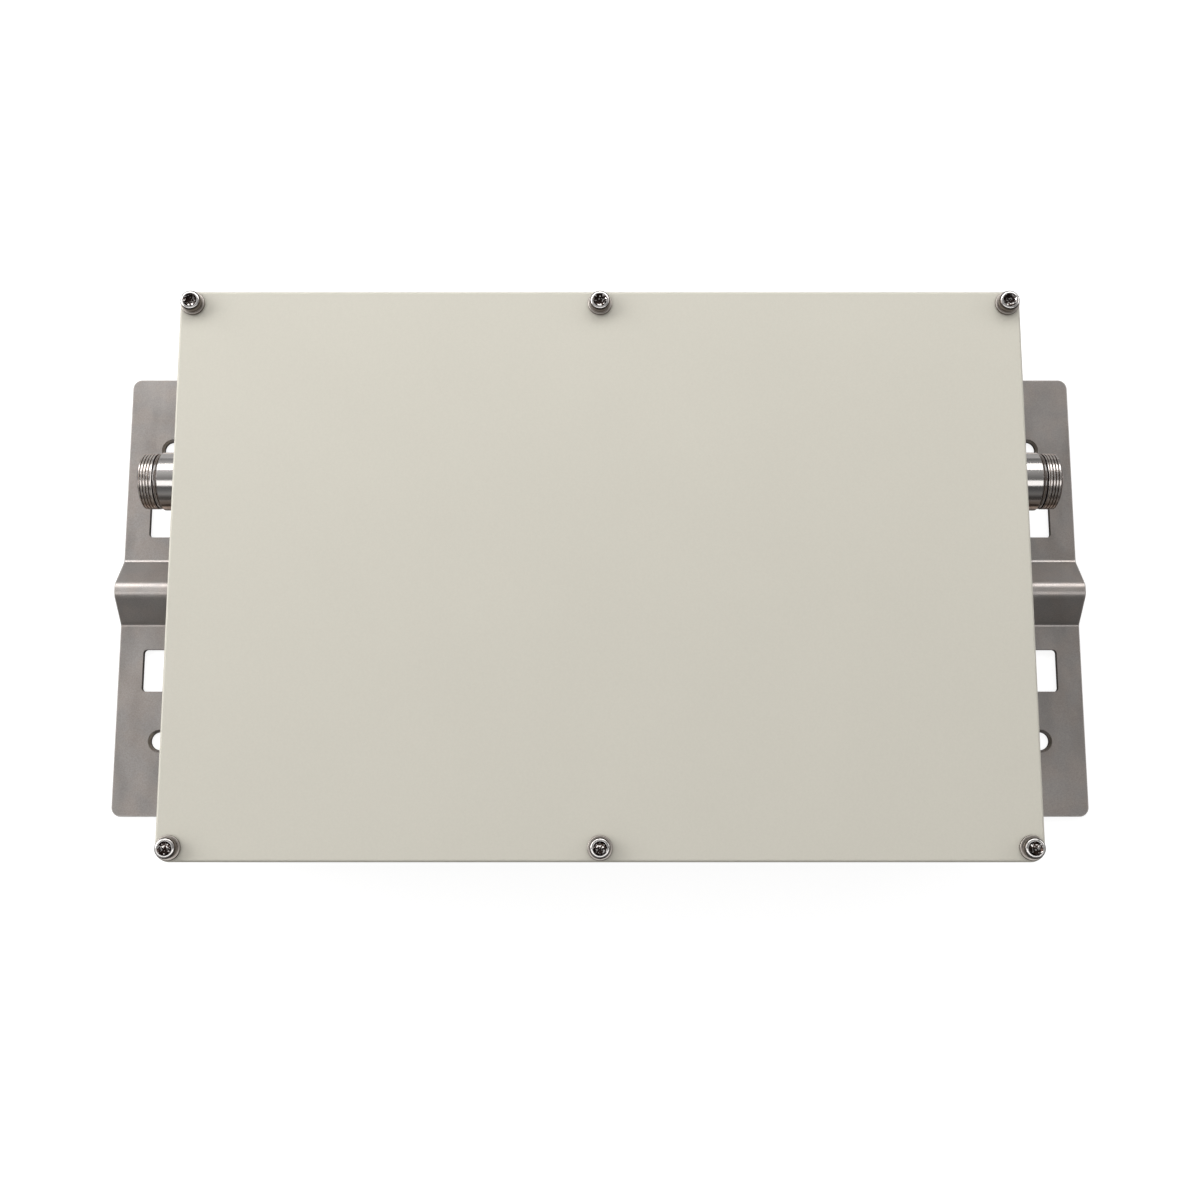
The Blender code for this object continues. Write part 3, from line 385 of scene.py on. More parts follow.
class Nodes:
    """A node tree, with short calls for the nodes that the finishes, the floor and the room share."""

    def __init__(self, tree):
        self.nodes = tree.nodes
        self.links = tree.links

    def feed(self, socket, value):
        """Gives a socket another node's output, or a plain value."""
        if isinstance(value, bpy.types.NodeSocket):
            self.links.new(value, socket)
        else:
            socket.default_value = value

    def calculated(self, operation, *values):
        """Result of one step of arithmetic on outputs and plain numbers."""
        step = self.nodes.new("ShaderNodeMath")
        step.operation = operation
        for socket, value in zip(step.inputs, values):
            self.feed(socket, value)
        return step.outputs["Value"]

    def spread(self, source, low, high, start=0.3, end=0.7):
        """Maps values from start to end, or a texture's middle range, to values from low to high."""
        ranged = self.nodes.new("ShaderNodeMapRange")
        ranged.inputs["From Min"].default_value = start
        ranged.inputs["From Max"].default_value = end
        ranged.inputs["To Min"].default_value = low
        ranged.inputs["To Max"].default_value = high
        self.links.new(source, ranged.inputs["Value"])
        return ranged.outputs["Result"]

    def rise(self, source, start, end):
        """Goes from 0 to 1 as the source goes from start to end."""
        return self.spread(source, 0.0, 1.0, start, end)

    def mixed(self, start, share, end):
        """Goes from one colour to another as the share rises from 0 to 1."""
        mix = self.nodes.new("ShaderNodeMix")
        mix.data_type = "RGBA"
        for name, color in (("A", start), ("B", end)):
            value = (*color, 1.0) if isinstance(color, tuple) else color
            self.feed(mix.inputs[name], value)
        self.links.new(share, mix.inputs["Factor"])
        return mix.outputs["Result"]

    def coordinates(self, vector):
        """A vector's X, Y and Z one by one."""
        separate = self.nodes.new("ShaderNodeSeparateXYZ")
        self.links.new(vector, separate.inputs["Vector"])
        return separate.outputs


class Finish(Nodes):
    """A material in the making, with a base colour and a roughness that its textures vary."""

    def __init__(self, name, color, roughness, metallic=0.0):
        self.material = bpy.data.materials.new(name)
        self.material.use_nodes = True
        super().__init__(self.material.node_tree)
        self.shader = self.nodes["Principled BSDF"]
        self.shader.inputs["Metallic"].default_value = metallic
        self.place = self.nodes.new("ShaderNodeTexCoord").outputs["Object"]
        self.color = color
        self.roughness = roughness

    def noise(self, size, detail=4.0, stretch=None):
        """Noise with features of about the given size in metres, longer where stretch is small."""
        texture = self.nodes.new("ShaderNodeTexNoise")
        texture.inputs["Scale"].default_value = 1.0 / size
        texture.inputs["Detail"].default_value = detail
        place = self.place
        if stretch:
            mapping = self.nodes.new("ShaderNodeMapping")
            mapping.inputs["Scale"].default_value = stretch
            self.links.new(place, mapping.inputs["Vector"])
            place = mapping.outputs["Vector"]
        self.links.new(place, texture.inputs["Vector"])
        return texture.outputs["Fac"]

    def varied(self, texture, share):
        """Values round 1 that stray from it by up to the share."""
        return self.spread(texture, 1.0 - share, 1.0 + share)

    def show(self, color):
        """Makes a mixed colour the surface's own."""
        self.links.new(color, self.shader.inputs["Base Color"])

    def tint(self, amount, color=None):
        """Shows the base colour, or a mixed one, scaled by a texture value."""
        scaled = self.nodes.new("ShaderNodeVectorMath")
        scaled.operation = "SCALE"
        self.feed(scaled.inputs[0], color if color else self.color)
        self.links.new(amount, scaled.inputs["Scale"])
        self.show(scaled.outputs["Vector"])

    def gloss(self, amount):
        """Scales the roughness by a texture value."""
        self.links.new(self.calculated("MULTIPLY", amount, self.roughness), self.shader.inputs["Roughness"])

    def bump(self, height, depth):
        """Adds relief of the given depth in metres."""
        relief = self.nodes.new("ShaderNodeBump")
        relief.inputs["Strength"].default_value = 1.0
        relief.inputs["Distance"].default_value = depth
        self.links.new(height, relief.inputs["Height"])
        self.links.new(relief.outputs["Normal"], self.shader.inputs["Normal"])

    def tooled(self, marks, depth):
        """Lets tool marks vary the roughness and stand in relief."""
        self.gloss(self.spread(marks, *MARKED))
        self.bump(marks, depth)


def powder_coat(name, color, roughness, grain):
    """Paint baked from powder: nearly even, with a fine orange peel."""
    coat = Finish(name, color, roughness)
    cloud = coat.varied(coat.noise(60 * MM, detail=3.0), 0.008)
    speck = coat.varied(coat.noise(0.9 * MM, detail=2.0), 0.015)
    coat.tint(coat.calculated("MULTIPLY", cloud, speck))
    coat.gloss(coat.varied(coat.noise(4 * MM), 0.07))
    coat.bump(coat.noise(1.4 * MM, detail=3.0), grain)
    coat.shader.inputs["Specular IOR Level"].default_value = 0.4
    return coat.material


def cap_steel():
    """Stainless head, bright on its rim, with painted shade: dark on its shoulder and dull brown down its
    side.
    """
    steel = Finish("cap_steel", HEAD_RIM, roughness=0.15, metallic=1.0)
    wander = steel.spread(steel.noise(1.2 * MM, detail=3.0), -HEAD_WANDER, HEAD_WANDER)
    height = steel.calculated("ADD", steel.coordinates(steel.place)["Z"], wander)
    # Painted shade: the colour darkens with depth below the head's top, dark on the shoulder, dull brown
    # down the side
    side = steel.mixed(HEAD_SIDE_SHADE, steel.rise(height, *SHOULDER_ZONE), HEAD_SHOULDER_SHADE)
    steel.show(steel.mixed(side, steel.rise(height, *RIM_ZONE), HEAD_RIM))
    steel.tooled(steel.noise(0.5 * MM, detail=3.0), depth=0.003 * MM)
    return steel.material


def socket_steel():
    """Inside of the heads' sockets, dark with painted shade, with random bright specks that stand in for
    glints.
    """
    steel = Finish("socket_steel", SOCKET_GLINT, roughness=0.12, metallic=1.0)
    # Painted glints: bright specks where the noise is high, set in painted shade
    speck = steel.rise(steel.noise(0.9 * MM, detail=1.0), 0.56, 0.62)
    steel.show(steel.mixed(SOCKET_SHADE, speck, SOCKET_GLINT))
    steel.gloss(steel.spread(steel.noise(0.5 * MM, detail=3.0), *MARKED))
    return steel.material


def washer_steel():
    """Dull stainless washer, with painted shade darker round its edge."""
    steel = Finish("washer_steel", WASHER_FACE, roughness=0.33, metallic=1.0)
    # Painted shade: the washer is coloured darker below its top face, round the edge
    face = steel.rise(steel.coordinates(steel.place)["Z"], *WASHER_ZONE)
    marks = steel.noise(0.5 * MM, detail=3.0)
    steel.tint(steel.varied(marks, 0.05), steel.mixed(WASHER_EDGE_SHADE, face, WASHER_FACE))
    steel.tooled(marks, depth=0.004 * MM)
    return steel.material


def plated_port():
    """Nickel plate with turning marks, and painted brown shade in the thread's valleys and the groove.

    Barrel, end face and bore keep the bare plate, but a painted brown shade and reflection lies on the side
    that hangs down.
    """
    plate = Finish("nickel_plate", NICKEL_BARE, roughness=0.13, metallic=1.0)
    place = plate.coordinates(plate.place)
    axis = middle_of("connector_body_left")
    end_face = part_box("connector_body_right")[1][0]
    across = plate.calculated("SUBTRACT", place["Y"], axis.y)
    height = plate.calculated("SUBTRACT", place["Z"], axis.z)
    across_squared = plate.calculated("MULTIPLY", across, across)
    height_squared = plate.calculated("MULTIPLY", height, height)
    radius = plate.calculated("SQRT", plate.calculated("ADD", across_squared, height_squared))
    reach = plate.calculated("ABSOLUTE", place["X"])
    in_bore = plate.calculated("LESS_THAN", radius, GROOVE_RADIUS - BORE_MARGIN)
    on_end = plate.calculated("GREATER_THAN", reach, end_face - FACE_MARGIN)
    on_barrel = plate.calculated("GREATER_THAN", radius, THREAD_RADIUS + FACE_MARGIN)
    bare_plate = plate.calculated("MAXIMUM", plate.calculated("MAXIMUM", in_bore, on_end), on_barrel)
    # Painted shade and reflection: brown down the ports' lower side
    underside_shade = plate.rise(across, *UNDERSIDE_SHADE_ZONE)
    outside = plate.calculated("SUBTRACT", 1.0, in_bore)
    # Painted shade: dark brown deep in the thread and the groove, lighter towards the crests
    thread = plate.mixed(THREAD_VALLEY_SHADE, plate.rise(radius, *CREST_ZONE), THREAD_BRIGHT)
    metal = plate.mixed(thread, bare_plate, NICKEL_BARE)
    plate.show(plate.mixed(metal, plate.calculated("MULTIPLY", underside_shade, outside), PORT_UNDERSIDE_SHADE))
    marks = plate.noise(0.18 * MM, detail=3.0, stretch=ROUND_X)
    roughening = plate.spread(bare_plate, VALLEY_ROUGHNESS, 1.0, 0.0, 1.0)
    plate.gloss(plate.calculated("MULTIPLY", plate.spread(marks, *MARKED), roughening))
    plate.bump(marks, depth=0.0012 * MM)
    return plate.material


def sealing_rubber():
    """Wet-looking rubber of the ports' sealing rings."""
    rubber = Finish("sealing_rubber", RING_BROWN, roughness=0.10)
    rubber.tint(rubber.varied(rubber.noise(1.5 * MM), 0.3))
    rubber.gloss(rubber.spread(rubber.noise(2 * MM), 0.7, 1.4))
    rubber.shader.inputs["IOR"].default_value = 2.3
    rubber.shader.inputs["Coat Weight"].default_value = 0.6
    return rubber.material


def blasted_sheet():
    """Stainless sheet, fine bead-blasted, with warm and grey clouds.

    The ridge's foot, flanks and crown are painted brighter as sheen, and the foot is smoother.
    """
    sheet = Finish("stainless_sheet", SHEET_WARM, roughness=0.39, metallic=1.0)
    height = sheet.coordinates(sheet.place)["Z"]
    foot_start = sheet.rise(height, *FOOT_START_ZONE)
    foot_end = sheet.spread(height, 1.0, 0.0, *FOOT_END_ZONE)
    foot = sheet.calculated("MULTIPLY", foot_start, foot_end)
    # Painted sheen: the ridge's foot, flanks and crown are coloured brighter than the flat sheet
    foot_sheen = sheet.spread(foot, 1.0, FOOT_PAINTED_SHEEN, 0.0, 1.0)
    flank_sheen = sheet.spread(height, 0.0, FLANK_PAINTED_SHEEN - 1.0, *FLANK_ZONE)
    crown_sheen = sheet.spread(height, 0.0, CROWN_PAINTED_SHEEN - FLANK_PAINTED_SHEEN, *CROWN_ZONE)
    sheen = sheet.calculated("ADD", foot_sheen, sheet.calculated("ADD", flank_sheen, crown_sheen))
    cloud = sheet.varied(sheet.noise(28 * MM), 0.06)
    grain = sheet.varied(sheet.noise(0.55 * MM, detail=2.0), 0.10)
    warm = sheet.rise(sheet.noise(11 * MM), 0.4, 0.6)
    amount = sheet.calculated("MULTIPLY", sheet.calculated("MULTIPLY", cloud, grain), sheen)
    sheet.tint(amount, sheet.mixed(SHEET_GREY, warm, SHEET_WARM))
    streak = sheet.varied(sheet.noise(9 * MM, detail=5.0, stretch=STREAKS_Y), 0.15)
    smooth = sheet.spread(foot, 1.0, FOOT_SMOOTHNESS, 0.0, 1.0)
    sheet.gloss(sheet.calculated("MULTIPLY", streak, smooth))
    sheet.bump(sheet.noise(0.5 * MM, detail=3.0), depth=0.012 * MM)
    return sheet.material


def machined(name, color, roughness, mark, depth, stretch=None):
    """Turned or milled metal with fine tool marks of the given size and depth."""
    metal = Finish(name, color, roughness, metallic=1.0)
    marks = metal.noise(mark, detail=3.0, stretch=stretch)
    cloud = metal.varied(metal.noise(6 * MM, detail=3.0), 0.05)
    metal.tint(metal.calculated("MULTIPLY", cloud, metal.varied(marks, 0.05)))
    metal.tooled(marks, depth)
    return metal.material


def moulded(name, color, roughness):
    """Plastic, rubber or sanded metal: matt, without a direction."""
    matt = Finish(name, color, roughness)
    matt.tint(matt.varied(matt.noise(3 * MM), 0.1))
    matt.gloss(matt.varied(matt.noise(1.5 * MM), 0.15))
    matt.bump(matt.noise(0.6 * MM), depth=0.004 * MM)
    return matt.material


PAINT = powder_coat("cream_paint", (0.630, 0.604, 0.525), roughness=0.52, grain=0.010 * MM)
CAST_PAINT = powder_coat("cast_paint", (0.605, 0.580, 0.504), roughness=0.60, grain=0.035 * MM)
SHEET_STEEL = blasted_sheet()
# Painted shade: the walls and broken edges of the sheet's holes and slots are coloured dark
CUT_EDGE_SHADE = machined("shaded_cut_edge", (0.09, 0.072, 0.060), roughness=0.42,
                     mark=0.4 * MM, depth=0.01 * MM, stretch=ALONG_Z)
SANDED_STEEL = moulded("sanded_rim", (0.44, 0.41, 0.385), roughness=0.55)
SCREW_STEEL = machined("stainless_screw", (0.66, 0.64, 0.62), roughness=0.20,
                       mark=0.5 * MM, depth=0.003 * MM)
CAP_STEEL = cap_steel()
SOCKET_STEEL = socket_steel()
WASHER_STEEL = washer_steel()
NICKEL = plated_port()
SILVER = machined("silver_plate", (0.86, 0.84, 0.80), roughness=0.24,
                  mark=0.3 * MM, depth=0.002 * MM)
BRASS = machined("brass", (0.72, 0.54, 0.26), roughness=0.28, mark=0.3 * MM, depth=0.002 * MM)
ALUMINIUM = machined("plain_aluminium", (0.76, 0.76, 0.77), roughness=0.34,
                     mark=0.4 * MM, depth=0.003 * MM, stretch=ALONG_Y)
POLYMER = moulded("white_polymer", (0.86, 0.86, 0.84), roughness=0.42)
RUBBER = moulded("dark_rubber", (0.035, 0.024, 0.018), roughness=0.30)
RING_RUBBER = sealing_rubber()
SCREW_FINISHES = (CAP_STEEL, SOCKET_STEEL)
BRACKET_FINISHES = (SHEET_STEEL, CUT_EDGE_SHADE, SANDED_STEEL)


def make_cover():
    """Flat plate with round edges and a hole for each cover screw."""
    low, high = (Vector(corner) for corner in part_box("front_cover"))
    size = high - low
    outline = rounded_rectangle(size.x, size.y, COVER_CORNER_RADIUS, middle_of("front_cover"))
    cover = prism("cover_panel", outline, low.z, high.z)
    bevelled(cover, COVER_EDGE_RADIUS, COVER_EDGE_STEPS, COVER_BEVEL_ANGLE)
    holes = []
    for number, _ in enumerate(SCREW_TURNS, 1):
        place = middle_of(f"cover_screw_{number}")
        circle = arc(place, COVER_HOLE_RADIUS, 0.0, 2 * math.pi, HOLE_SIDES)[:-1]
        holes.append(prism(f"cover_hole_{number}", circle, low.z - CUT, high.z + CUT))
    combined(cover, "DIFFERENCE", holes)
    finished(cover, PAINT, "cream_paint", "front_cover")
    evened(cover)


def make_cap_screw(number, turn):
    """Screw with a low round-shouldered head, whose hexagon socket has a wide conical mouth."""
    low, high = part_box(f"cover_screw_{number}")
    place = middle_of(f"cover_screw_{number}")
    radius = (high[0] - low[0]) / 2
    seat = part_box(f"cover_washer_{number}")[1][2] + SEAT_GAP
    top = high[2]
    dish = top - HEAD_DISH
    profile = [(0.0, dish), (MOUTH_FOOT_RADIUS, dish), *round_over(radius, top, HEAD_ROUNDING, True),
               (radius, seat), (SHANK_RADIUS, seat), (SHANK_RADIUS, low[2]), (0.0, low[2])]
    screw = turned(f"cap_screw_{number}", profile, FINE_SIDES)

    corner = SOCKET_FLATS / 2 / math.cos(math.pi / HEX_SIDES)
    hexagon = [(0.0, top + CUT), (corner, top + CUT), (corner, top - SOCKET_DEPTH),
               (0.0, top - SOCKET_DEPTH - SOCKET_CONE)]
    foot = dish - MOUTH_DEPTH
    mouth = [(0.0, top + CUT), (MOUTH_RADIUS, top + CUT), (MOUTH_RADIUS, dish),
             (MOUTH_FOOT_RADIUS, foot), (0.0, foot)]
    tools = [turned("hexagon", hexagon, HEX_SIDES), turned("mouth", mouth, HOLE_SIDES)]
    coated(screw, SCREW_FINISHES, RIM)
    # The socket's faces take the finish of painted shade and glints
    for tool in tools:
        coated(tool, SCREW_FINISHES, SOCKET)
    combined(screw, "DIFFERENCE", tools)
    spin = Matrix.Rotation(math.radians(turn), 4, "Z")
    settled(screw, Matrix.Translation((place.x, place.y, 0.0)) @ spin)
    finished(screw, CAP_STEEL, "stainless_screw", f"cover_screw_{number}")


def make_washer(number):
    """Stamped washer with rounded outer edges."""
    low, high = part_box(f"cover_washer_{number}")
    place = middle_of(f"cover_screw_{number}")
    radius = (high[0] - low[0]) / 2
    section = [(COVER_HOLE_RADIUS, high[2]), *round_over(radius, high[2], WASHER_ROUNDING, True),
               *round_over(radius, low[2], WASHER_ROUNDING, False), (COVER_HOLE_RADIUS, low[2])]
    washer = turned(f"washer_{number}", section, FINE_SIDES, closed=True)
    settled(washer, Matrix.Translation((place.x, place.y, 0.0)))
    finished(washer, WASHER_STEEL, "stainless_screw", f"cover_washer_{number}")


def bent_sheet_outline(corners, bend_radius, thickness):
    """Section of a sheet that follows straight runs with a round bend at each inner corner."""
    headings = [math.atan2(b[1] - a[1], b[0] - a[0]) for a, b in zip(corners, corners[1:])]
    places = [(corners[0], headings[0])]
    for corner, heading_in, heading_out in zip(corners[1:], headings, headings[1:]):
        turn = heading_out - heading_in
        lead = bend_radius * math.tan(abs(turn) / 2)
        side = math.copysign(1.0, turn)
        start = (corner[0] - lead * math.cos(heading_in), corner[1] - lead * math.sin(heading_in))
        middle = (start[0] - side * bend_radius * math.sin(heading_in),
                  start[1] + side * bend_radius * math.cos(heading_in))
        for step in range(CORNER_STEPS + 1):
            heading = heading_in + turn * step / CORNER_STEPS
            places.append(((middle[0] + side * bend_radius * math.sin(heading),
                            middle[1] - side * bend_radius * math.cos(heading)), heading))
    places.append((corners[-1], headings[-1]))
    half = thickness / 2
    upper = [(x - half * math.sin(heading), y + half * math.cos(heading)) for (x, y), heading in places]
    lower = [(x + half * math.sin(heading), y - half * math.cos(heading)) for (x, y), heading in places]
    return lower + upper[::-1]


def bracket_tools(side, slot_centre, hole_centre):
    """Cutters for a bracket's two slots, two wall holes and four screw holes."""
    sink = WALL_HOLE_SINK_RADIUS - WALL_HOLE_RADIUS
    wall_hole = [(0.0, SHEET + CUT), (WALL_HOLE_SINK_RADIUS + CUT, SHEET + CUT),
                 (WALL_HOLE_RADIUS, SHEET - sink), (WALL_HOLE_RADIUS, -CUT), (0.0, -CUT)]
    screw_hole = [(0.0, SHEET + CUT), (SCREW_HOLE_RADIUS, SHEET + CUT),
                  (SCREW_HOLE_RADIUS, SCREW_SINK_RADIUS - SCREW_HOLE_RADIUS),
                  (SCREW_SINK_RADIUS + CUT, -CUT), (0.0, -CUT)]
    tools = []
    for way in (1, -1):
        slot = rounded_rectangle(*SLOT_SIZE, SLOT_CORNER_RADIUS, (slot_centre[0], way * slot_centre[1]))
        tools.append(prism("slot", slot, -CUT, SHEET + CUT))
        tool = turned("wall_hole", wall_hole, HOLE_SIDES)
        tools.append(settled(tool, Matrix.Translation((hole_centre[0], way * hole_centre[1], 0.0))))
    for number in range(1, BRACKET_SCREWS + 1):
        place = middle_of(f"bracket_screw_{side}_{number}")
        tool = turned("screw_hole", screw_hole, HOLE_SIDES)
        tools.append(settled(tool, Matrix.Translation((place.x, place.y, 0.0))))
    # The cutters' upright faces become hole walls, which carry the painted shade of the cut edges
    for tool in tools:
        coated(tool, BRACKET_FINISHES, FLAT)
        for face in tool.data.polygons:
            if abs(face.normal.z) < UPRIGHT:
                face.material_index = HOLE_WALL
    return tools


def make_bracket(side, sign):
    """Hat-section bracket with fine bends, countersinks and broken edges."""
    low, high = (Vector(corner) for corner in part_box(f"bracket_{side}"))
    outer = high.x if sign > 0 else low.x
    middle = SHEET / 2
    mitre = middle * math.tan(RIDGE_SLOPE / 2)
    ridge_foot = RIDGE_CROWN_WIDTH / 2 + RIDGE_RISE / math.tan(RIDGE_SLOPE)
    right = [(RIDGE_CROWN_WIDTH / 2 - mitre, middle + RIDGE_RISE), (ridge_foot - mitre, middle),
             (high.y + CUT, middle)]
    left = [(-y, z) for y, z in reversed(right)]
    section = bent_sheet_outline(left + right, BEND_RADIUS, SHEET)
    bracket = prism(f"bracket_sheet_{side}", section, low.x - CUT, high.x + CUT, upright=False)
    coated(bracket, BRACKET_FINISHES, FLAT)
    size = high - low
    plan = rounded_rectangle(size.x, size.y, BRACKET_CORNER_RADIUS, middle_of(f"bracket_{side}"))
    combined(bracket, "INTERSECT", [prism("plan", plan, -CUT, high.z + CUT)])
    bevelled(bracket, SHEET_RIM_ROUNDING, SHEET_RIM_STEPS, SHEET_BEVEL_ANGLE, OUTER_EDGE)

    slot_centre = (outer - sign * (SLOT_EDGE_DISTANCE + SLOT_SIZE[0] / 2),
                   ridge_foot + SLOT_FOOT_DISTANCE + SLOT_SIZE[1] / 2)
    hole_centre = (outer - sign * WALL_HOLE_EDGE_DISTANCE, high.y - WALL_HOLE_SIDE_DISTANCE)
    combined(bracket, "DIFFERENCE", bracket_tools(side, slot_centre, hole_centre))
    # The new faces of the broken hole edges carry the painted shade too
    bevelled(bracket, SHEET_EDGE_ROUNDING, SHEET_EDGE_STEPS, SHEET_BEVEL_ANGLE, HOLE_WALL)
    finished(bracket, SHEET_STEEL, "stainless_sheet", f"bracket_{side}")
    evened(bracket)


def thread_wave(start, end):
    """Radius of a right-hand thread between two reaches, fading out at both ends."""
    def wave(radius, reach, angle):
        if abs(radius - THREAD_RADIUS) > WELD_DISTANCE or not start < reach < end:
            return radius
        turn = ((reach - start) / THREAD_PITCH + angle / (2 * math.pi)) % 1.0
        flank = min(1.0, max(0.0, (abs(2 * turn - 1) - THREAD_CREST) / (1 - THREAD_CREST)))
        cut = flank * flank * (3 - 2 * flank)
        run_out = (reach - start) / (THREAD_RUN_OUT * THREAD_PITCH)
        run_in = (end - reach) / (THREAD_RUN_IN * THREAD_PITCH)
        return radius - THREAD_DEPTH * cut * min(1.0, run_out, run_in)
    return wave


def make_port(side, sign):
    """Connector body with its thread and wrench flats, and the sealing ring in its groove."""
    body_low, body_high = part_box(f"connector_body_{side}")
    centre = middle_of(f"connector_body_{side}")
    outer = body_high[0] if sign > 0 else body_low[0]
    inner = body_low[0] if sign > 0 else body_high[0]
    wall = outer - sign * PORT_REACH
    outward = Matrix.Rotation(sign * math.pi / 2, 4, "Y")
    place = Matrix.Translation((wall, centre.y, centre.z)) @ outward
    spigot_end = (inner - wall) * sign
    thread_start = PORT_REACH - THREAD_LENGTH
    barrel_end = thread_start - GROOVE_WIDTH
    steps = round(THREAD_LENGTH / THREAD_PITCH * THREAD_STEPS)
    crest = PORT_REACH - PORT_CHAMFER
    thread = [(THREAD_RADIUS, crest + (thread_start - crest) * step / steps) for step in range(steps + 1)]
    outside = [
        (PORT_SOCKET_RADIUS + PORT_EDGE, PORT_REACH),
        (THREAD_RADIUS - PORT_CHAMFER - PORT_EDGE, PORT_REACH), *thread,
        (GROOVE_RADIUS + PORT_EDGE, thread_start), (GROOVE_RADIUS, thread_start - PORT_EDGE),
        (GROOVE_RADIUS, barrel_end + PORT_EDGE), (GROOVE_RADIUS + PORT_EDGE, barrel_end),
        (BARREL_RADIUS - PORT_CHAMFER, barrel_end), (BARREL_RADIUS, barrel_end - PORT_CHAMFER),
        (BARREL_RADIUS, COLLAR_THICKNESS + PORT_EDGE), (BARREL_RADIUS + PORT_EDGE, COLLAR_THICKNESS),
        (COLLAR_RADIUS - PORT_EDGE, COLLAR_THICKNESS), (COLLAR_RADIUS, COLLAR_THICKNESS - PORT_EDGE),
        (COLLAR_RADIUS, 2 * SEAT_GAP), (COLLAR_RADIUS - PORT_EDGE, SEAT_GAP),
        (SPIGOT_RADIUS, SEAT_GAP), (SPIGOT_RADIUS, spigot_end)]
    socket_bottom = PORT_REACH - PORT_SOCKET_DEPTH
    bore_bottom = socket_bottom - PORT_BORE_LENGTH
    bore = [
        (PORT_REAR_BORE_RADIUS, spigot_end), (PORT_REAR_BORE_RADIUS, bore_bottom),
        (PORT_BORE_RADIUS, bore_bottom), (PORT_BORE_RADIUS, socket_bottom),
        (PORT_SOCKET_RADIUS, socket_bottom), (PORT_SOCKET_RADIUS, PORT_REACH - PORT_EDGE)]
    wave = thread_wave(thread_start, PORT_REACH)
    body = turned(f"port_body_{side}", outside + bore, THREAD_SIDES, closed=True, wave=wave)
    half_flats = COLLAR_FLATS / 2
    for vertex in body.data.vertices:
        if 0.0 < vertex.co.z < COLLAR_THICKNESS + PORT_EDGE:
            vertex.co.x = max(-half_flats, min(half_flats, vertex.co.x))
    settled(body, place)
    finished(body, NICKEL, "nickel_plate", f"connector_body_{side}")

    ring_centre = (GROOVE_RADIUS + RING_PLAY + RING_SECTION_RADIUS, (thread_start + barrel_end) / 2)
    section = arc(ring_centre, RING_SECTION_RADIUS, 0.0, -2 * math.pi, RING_SIDES)[:-1]
    ring = turned(f"sealing_ring_{side}", section, FINE_SIDES, closed=True)
    settled(ring, place)
    finished(ring, RING_RUBBER, "dark_rubber", f"port_ring_{side}")


def smooth_by_angle():
    """Node group that shades a mesh smooth, apart from its sharp edges."""
    group = bpy.data.node_groups.new("smooth_by_angle", "GeometryNodeTree")
    for way in ("INPUT", "OUTPUT"):
        group.interface.new_socket("Geometry", in_out=way, socket_type="NodeSocketGeometry")
    entry = group.nodes.new("NodeGroupInput")
    faces = group.nodes.new("GeometryNodeSetShadeSmooth")
    faces.domain = "FACE"
    edges = group.nodes.new("GeometryNodeSetShadeSmooth")
    edges.domain = "EDGE"
    angle = group.nodes.new("GeometryNodeInputMeshEdgeAngle")
    is_blunt = group.nodes.new("FunctionNodeCompare")
    is_blunt.operation = "LESS_EQUAL"
    is_blunt.inputs["B"].default_value = CAD_SMOOTH_ANGLE
    leave = group.nodes.new("NodeGroupOutput")
    group.links.new(entry.outputs["Geometry"], faces.inputs["Geometry"])
    group.links.new(faces.outputs["Geometry"], edges.inputs["Geometry"])
    group.links.new(angle.outputs["Unsigned Angle"], is_blunt.inputs["A"])
    group.links.new(is_blunt.outputs["Result"], edges.inputs["Shade Smooth"])
    group.links.new(edges.outputs["Geometry"], leave.inputs["Geometry"])
    return group


def smoothed(item, group):
    """Shades a CAD node as the round piece that it is, without moving its faces."""
    weld = item.modifiers.new("joined", "WELD")
    weld.merge_threshold = WELD_DISTANCE
    smooth = item.modifiers.new("smooth", "NODES")
    smooth.node_group = group


KEPT_FINISHES = {
    "housing": CAST_PAINT, "cavity_lid": ALUMINIUM, "cover_gasket": RUBBER, "resonator": SILVER,
    "tuning_screw": BRASS, "lid_screw": SCREW_STEEL, "bracket_screw": SCREW_STEEL,
    "insulator": POLYMER, "centre_contact": SILVER}


def dress_kept_nodes():
    """Gives each CAD node that stays in the picture its finish, by the start of its name."""
    group = smooth_by_angle()
    for name, node in NODES.items():
        for start, material in KEPT_FINISHES.items():
            if name.startswith(start):
                node.data.materials.clear()
                node.data.materials.append(material)
                smoothed(node, group)


def make_floor():
    """Pale floor under the part, white to the camera, that keeps the part's shadow."""
    bpy.ops.mesh.primitive_plane_add(size=FLOOR_SIZE, location=(0.0, 0.0, -FLOOR_DROP))
    floor = bpy.context.active_object
    floor.name = "floor"
    material = bpy.data.materials.new("floor")
    material.use_nodes = True
    pale = Nodes(material.node_tree)
    shader = pale.nodes["Principled BSDF"]
    shader.inputs["Base Color"].default_value = (*FLOOR_GREY, 1.0)
    shader.inputs["Roughness"].default_value = FLOOR_ROUGHNESS
    shader.inputs["Emission Color"].default_value = (*WHITE, 1.0)
    path = pale.nodes.new("ShaderNodeLightPath")
    level = 0.0
    for ray, glow in FLOOR_GLOW.items():
        level = pale.calculated("MULTIPLY_ADD", path.outputs[ray], glow, level)
    pale.feed(shader.inputs["Emission Strength"], level)
    floor.data.materials.append(material)


